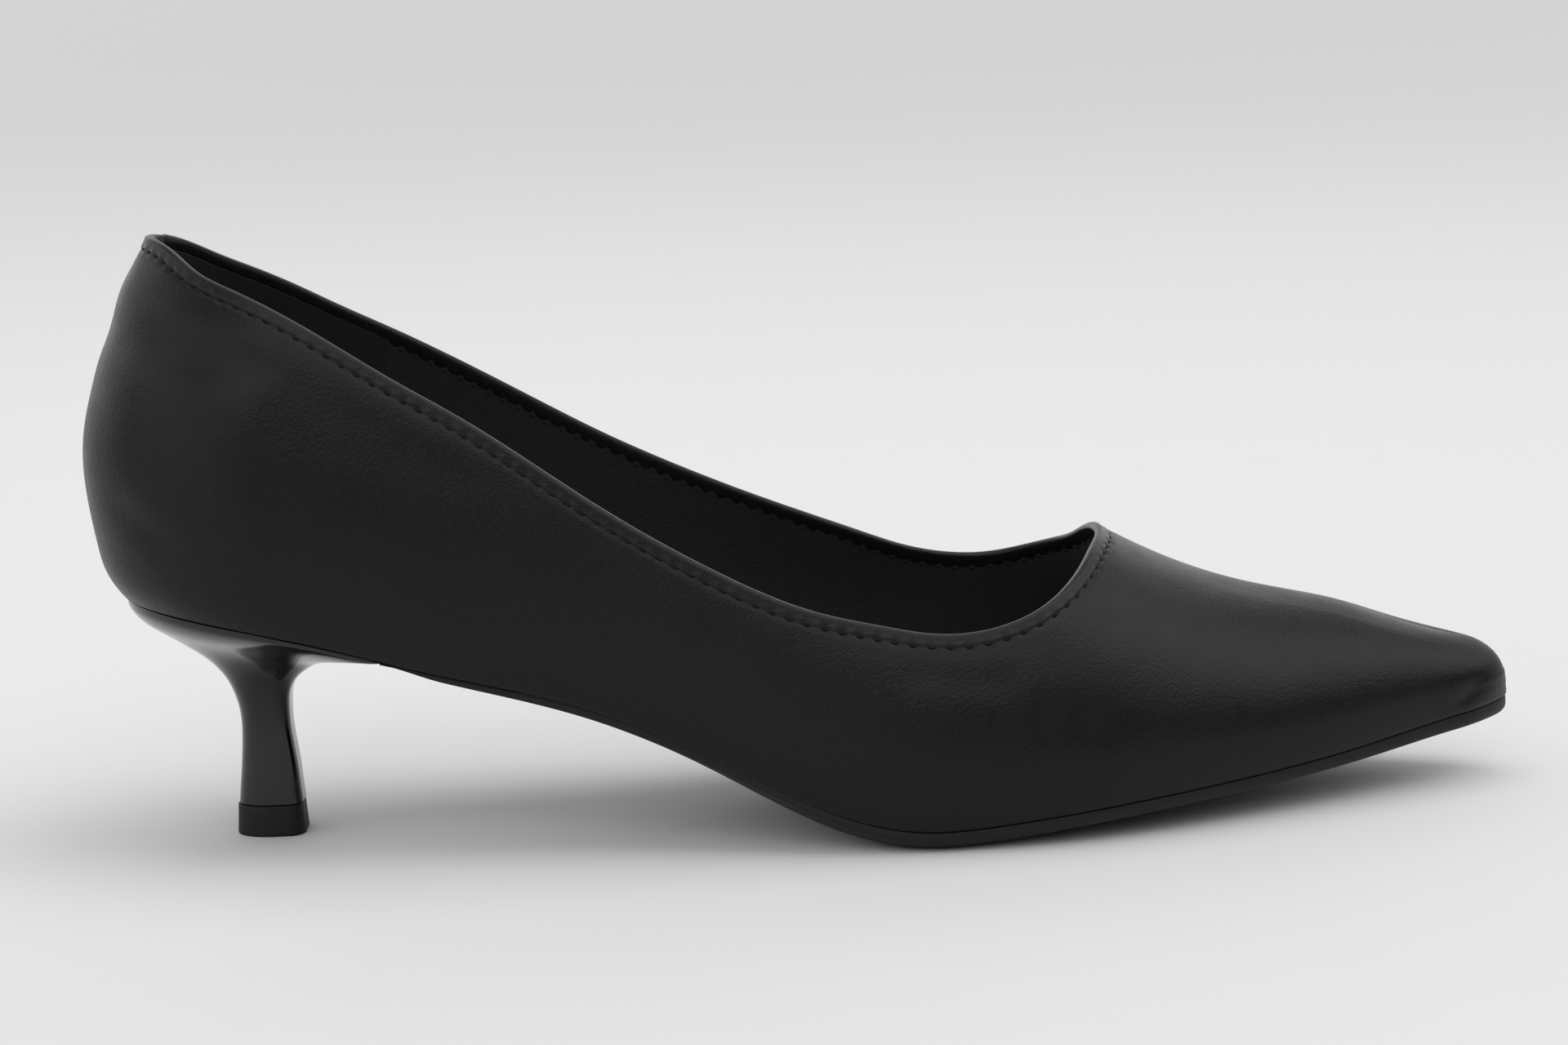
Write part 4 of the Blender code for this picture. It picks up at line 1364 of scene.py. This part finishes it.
@dataclass
class Heel:
    """The lacquered heel and the rubber top piece under it."""

    last: Last
    breast_at: float = 0.0240
    top_height: float = 0.0056
    top_rear: float = 0.0062
    top_front: float = 0.0065
    top_width: float = 0.0106
    top_flare: float = 0.0005
    stem_rear: float = 0.0056
    stem_front: float = 0.0063
    stem_width: float = 0.0098
    heel_rear_span: float = 0.64
    stem_rear_span: float = 0.55
    seat_corner: float = 0.06
    stem_corner: float = 0.55
    side_steps: int = 40
    ring_steps: int = 5

    def half_ring(self, rear_span: float, corner: float, length_ratio: float) -> np.ndarray:
        """Return one side of a ring as (forward, outward) shares, from its back to its breast.

        Args:
            rear_span: the share of the length taken by the round back.
            corner: the breast's corner radius as a share of the half width.
            length_ratio: the ring's length over its half width.

        Returns:
            The shares.
        """
        radius = corner / length_ratio
        back = [
            (rear_span * (1 - math.cos(angle)), math.sin(angle))
            for angle in np.linspace(0, math.pi / 2, 48)
        ]
        straight = [(f, o) for f, o in back if f < 1 - radius] + [(1 - radius, 1.0)]
        line = np.array([(f * length_ratio, o, 0.0) for f, o in straight])
        side = spaced(line, np.linspace(0, 1, self.side_steps))
        shares = [(f / length_ratio, o) for f, o, _ in side]
        for angle in np.linspace(0, math.pi / 2, 8)[1:]:
            shares.append((1 - radius * (1 - math.sin(angle)), 1 - corner * (1 - math.cos(angle))))
        for inwards in (0.75, 0.5, 0.25, 0.0):
            shares.append((1.0, (1 - corner) * inwards))
        return np.array(shares)

    @staticmethod
    def both_sides(side_points: Callable[[Side], np.ndarray]) -> np.ndarray:
        """Return a closed ring from a function that gives each side's points."""
        lateral, medial = side_points(Side.LATERAL), side_points(Side.MEDIAL)
        return np.vstack((lateral, medial[::-1][1:-1]))

    def make_heel(self, material: Material) -> Piece:
        """Make the heel: its seat follows the feather line and narrows to the stem."""
        last = self.last
        columns = table_curves(HEEL_COLUMNS, HEEL_RINGS)
        seat_rear, seat_front = last.heel_end + last.fit_gap, self.breast_at
        seat_z = [last.feather(x) - last.fit_gap / 3 for x in (seat_rear, seat_front)]
        foot = self.top_height + last.fit_gap
        rings = []
        for place in np.linspace(0, len(HEEL_RINGS) - 1, (len(HEEL_RINGS) - 1) * self.ring_steps + 1):
            rear_drop, front_drop, rear_reach, front_reach, spread = (
                float(columns[name](place)) for name in HEEL_COLUMNS[1:]
            )
            rear = -self.stem_rear + rear_reach * (seat_rear + self.stem_rear)
            front = self.stem_front + front_reach * (seat_front - self.stem_front)
            rear_z = seat_z[0] + rear_drop * (foot - seat_z[0])
            front_z = seat_z[1] + front_drop * (foot - seat_z[1])
            seat_share = min(max(spread, 0.0), 1.0)
            rear_span = self.stem_rear_span + seat_share * (self.heel_rear_span - self.stem_rear_span)
            corner = self.stem_corner + seat_share * (self.seat_corner - self.stem_corner)

            def side_points(side: Side) -> np.ndarray:
                """Return one side of this ring."""
                seat_half = last.half_width(self.breast_at, side) - last.fit_gap
                half = self.stem_width / 2 + spread * (seat_half - self.stem_width / 2)
                points = []
                for forward, outward in self.half_ring(rear_span, corner, (front - rear) / half):
                    seat_x = seat_rear + forward * (seat_front - seat_rear)
                    level = seat_z[0] + forward * (seat_z[1] - seat_z[0])
                    sag = last.feather(seat_x) - last.fit_gap / 3 - level
                    widening = last.half_width(seat_x, side) / last.half_width(self.breast_at, side)
                    points.append((
                        rear + forward * (front - rear),
                        side.value * outward * half * (1 + seat_share * (widening - 1)),
                        rear_z + forward * (front_z - rear_z) + seat_share * sag,
                    ))
                return np.array(points)

            rings.append(self.both_sides(side_points))
        lid = [rings[0] * (1.0, share, 1.0) for share in (0.0, 0.5)]
        piece = Bench.sheet("lacquered_heel", np.array([*lid, *rings]), wrap=True)
        Bench.close_holes(piece)
        return Bench.finish(piece, [material], Slot.HEEL, ["heel"])

    def make_top_piece(self, material: Material) -> Piece:
        """Make the top piece, the rubber lift that the heel stands on, flared towards the floor."""
        rings = []
        levels = (
            (self.top_height, -0.4), (self.top_height, 0.15), (self.top_height - 0.00018, 0.36),
            (self.top_height - 0.0005, 0.42), (0.0030, 0.65), (0.0008, 0.98), (0.00035, 1.0),
            (0.0001, 0.85), (0.0, 0.5),
        )
        for level, flare in levels:
            drawn_in = (1 - flare) * self.top_flare
            rear, front = -self.top_rear + drawn_in, self.top_front - drawn_in
            half = self.top_width / 2 - drawn_in
            shares = self.half_ring(self.stem_rear_span, self.stem_corner, (front - rear) / half)
            rings.append(self.both_sides(lambda side: np.array([
                (rear + forward * (front - rear), side.value * outward * half, level)
                for forward, outward in shares
            ])))
        piece = Bench.sheet("rubber_lift", np.array(rings), wrap=True)
        Bench.close_holes(piece)
        return Bench.finish(piece, [material], Slot.TOP_PIECE, ["top_piece"])


@dataclass(frozen=True)
class Softbox:
    """A rectangular lamp that shines towards the shoe."""

    name: str
    place: tuple
    aim: tuple
    size: tuple
    power: float

    def hang(self) -> None:
        """Add the lamp to the scene."""
        Bench.clear_selection()
        bpy.ops.object.light_add(type="AREA", location=self.place)
        lamp = bpy.context.object
        lamp.name = self.name
        lamp.data.shape = "RECTANGLE"
        lamp.data.size, lamp.data.size_y = self.size
        lamp.data.energy = self.power
        backwards = Vector(self.place) - Vector(self.aim)
        lamp.rotation_euler = backwards.to_track_quat("Z", "Y").to_euler()


@dataclass(frozen=True)
class Glow:
    """A soft patch of light in the room round the shoe.

    Attributes:
        azimuth: its direction round the shoe in degrees, from the camera's side (0) by the toe (90).
        elevation: its height above the floor in degrees.
        rim: the cosine, off its direction, at which it fades out.
        strength: how bright it is.
        core: the cosine at which it is full.
    """

    azimuth: float
    elevation: float
    rim: float
    strength: float
    core: float = 0.98

    def direction(self) -> Vector:
        """Return the direction of its middle, seen from the shoe."""
        turn, rise = math.radians(self.azimuth), math.radians(self.elevation)
        flat = math.cos(rise)
        return Vector((math.sin(turn) * flat, -math.cos(turn) * flat, math.sin(rise)))


# Wide glows low behind the shoe and at its sides, small ones above it. The strongest two stand at 40
# degrees, on the camera's side and by the toe.
GLOWS = (
    Glow(135, 15, 0.74, 0.75),
    Glow(180, 15, 0.74, 1.00),
    Glow(225, 15, 0.74, 1.25),
    Glow(270, 15, 0.74, 0.25),
    Glow(315, 15, 0.74, 1.25),
    Glow(0, 40, 0.88, 1.75),
    Glow(45, 40, 0.88, 1.25),
    Glow(90, 40, 0.88, 1.75),
    Glow(135, 40, 0.88, 0.25),
    Glow(270, 40, 0.88, 1.00),
    Glow(70, 65, 0.90, 1.50),
)


@dataclass
class Studio:
    """The pale floor, the lamps and the camera."""

    yaw: float = math.radians(-1.0)
    elevation: float = math.radians(9.5)
    roll: float = math.radians(-2.301)
    distance: float = 0.637953
    target: tuple = (0.096008, 0.0, 0.053131)
    focal_pixels: float = 4305.0
    image_width: int = 1920
    sensor: float = 36.0
    floor_size: float = 60.0
    key_power: float = 8.0
    room_strength: float = 0.02
    backdrop: tuple = (0.66, 0.66, 0.665, 1.0)

    def lay_floor(self, material: Material) -> None:
        """Lay the pale floor."""
        Bench.clear_selection()
        bpy.ops.mesh.primitive_plane_add(size=self.floor_size)
        floor = bpy.context.object
        floor.name = floor.data.name = "floor"
        floor.data.materials.append(material)

    def light(self) -> None:
        """Hang the top lamp and light the room round the shoe with soft glows."""
        place, aim, size = (0.10, 0.15, 1.60), (0.10, 0.0, 0.0), (1.2, 1.2)
        Softbox("top_softbox", place, aim, size, self.key_power).hang()
        world = bpy.data.worlds.new("room")
        world.use_nodes = True
        wiring = Wiring(world.node_tree)
        seen = wiring.tree.nodes["Background"]
        seen.inputs["Color"].default_value = self.backdrop
        direction = wiring.node("TexCoord").outputs["Generated"]
        total = self.room_strength
        for glow in GLOWS:
            towards = {0: direction, 1: glow.direction()}
            dot = wiring.node("VectorMath", towards, operation="DOT_PRODUCT")
            ramp = wiring.node("MapRange", {
                "Value": dot.outputs["Value"], "From Min": glow.rim, "From Max": glow.core,
            }, interpolation_type="SMOOTHSTEP")
            lit = {0: ramp.outputs["Result"], 1: glow.strength, 2: total}
            total = wiring.node("Math", lit, operation="MULTIPLY_ADD").outputs[0]
        room = wiring.node("Background", {"Strength": total})
        by_camera = wiring.node("LightPath").outputs["Is Camera Ray"]
        choice = wiring.node("MixShader", {0: by_camera, 1: room.outputs[0], 2: seen.outputs[0]})
        wiring.tree.links.new(choice.outputs[0], wiring.tree.nodes["World Output"].inputs["Surface"])
        bpy.context.scene.world = world
        bpy.context.scene.view_settings.view_transform = "Standard"

    def set_camera(self) -> None:
        """Set the camera at the photograph's angle to the shoe."""
        a, e, r = self.yaw, self.elevation, self.roll
        back = np.array((math.sin(a) * math.cos(e), -math.cos(a) * math.cos(e), math.sin(e)))
        right = np.array((math.cos(a), math.sin(a), 0.0))
        up = np.cross(back, right)
        turned_right = right * math.cos(r) + up * math.sin(r)
        turned_up = -right * math.sin(r) + up * math.cos(r)
        place = np.array(self.target) + back * self.distance
        Bench.clear_selection()
        bpy.ops.object.camera_add()
        camera = bpy.context.object
        camera.name = "photo_camera"
        matrix = np.eye(4)
        matrix[:3] = np.stack((turned_right, turned_up, back, place), axis=1)
        camera.matrix_world = Matrix(matrix.tolist())
        camera.data.sensor_width = self.sensor
        camera.data.lens = self.focal_pixels / self.image_width * self.sensor
        camera.data.clip_start, camera.data.clip_end = 0.01, 200.0
        bpy.context.scene.camera = camera


def main() -> None:
    """Build the shoe piece by piece, then the studio round it."""
    logging.basicConfig(level=logging.INFO, format="%(name)s %(message)s")
    studio = Studio()
    studio.set_camera()
    last = Last()
    leather = Leather("upper_leather").build()
    # The binding leather has about twice the upper leather's colour. This is painted light: it stands
    # in for the sheen on the band's inner face, which lies in shade.
    lightened_binding_leather = Leather(
        "binding_leather_painted_light", dark=(0.0062, 0.0062, 0.0065), light=(0.0115, 0.0113, 0.0116),
        roughness=(0.32, 0.04), grain=(0.00055, 0.000024), ripple=(0.02, 0.0001),
    ).build()
    cloth = Lining("brushed_lining").build()
    smooth_cloth = Lining(
        "heel_lining", light=(0.0080, 0.0080, 0.0081), streak=0.00018, depth=0.00002,
    ).build()
    sock = Lining("sock_lining", light=(0.0090, 0.0089, 0.0090), streak=0.00024, depth=0.00003).build()
    thread = Thread("black_thread").build()
    stitching = Stitching()
    upper = Upper(last)
    upper.make_leather(leather, stitching)
    upper.make_lining([cloth, smooth_cloth])
    Binding(last).make(lightened_binding_leather, stitching)
    ribbon = last.ribbon(0.0010)
    stitching.make_row("outer_stitches", ribbon, stitching.depth_below, -stitching.sunk, thread)
    stitching.make_row("inner_stitches", ribbon, stitching.inner_below, -stitching.wall, thread)
    bottom = Bottom(last)
    bottom.make_insole(sock)
    bottom.make_outsole(Rubber("moulded_sole", roughness=0.50).build())
    heel = Heel(last)
    heel.make_heel(Lacquer("black_lacquer").build())
    heel.make_top_piece(Rubber("rubber", rib=(0.0016, 0.00008)).build())
    studio.lay_floor(Paper("pale_paper").build())
    studio.light()


if __name__ == "__main__":
    main()
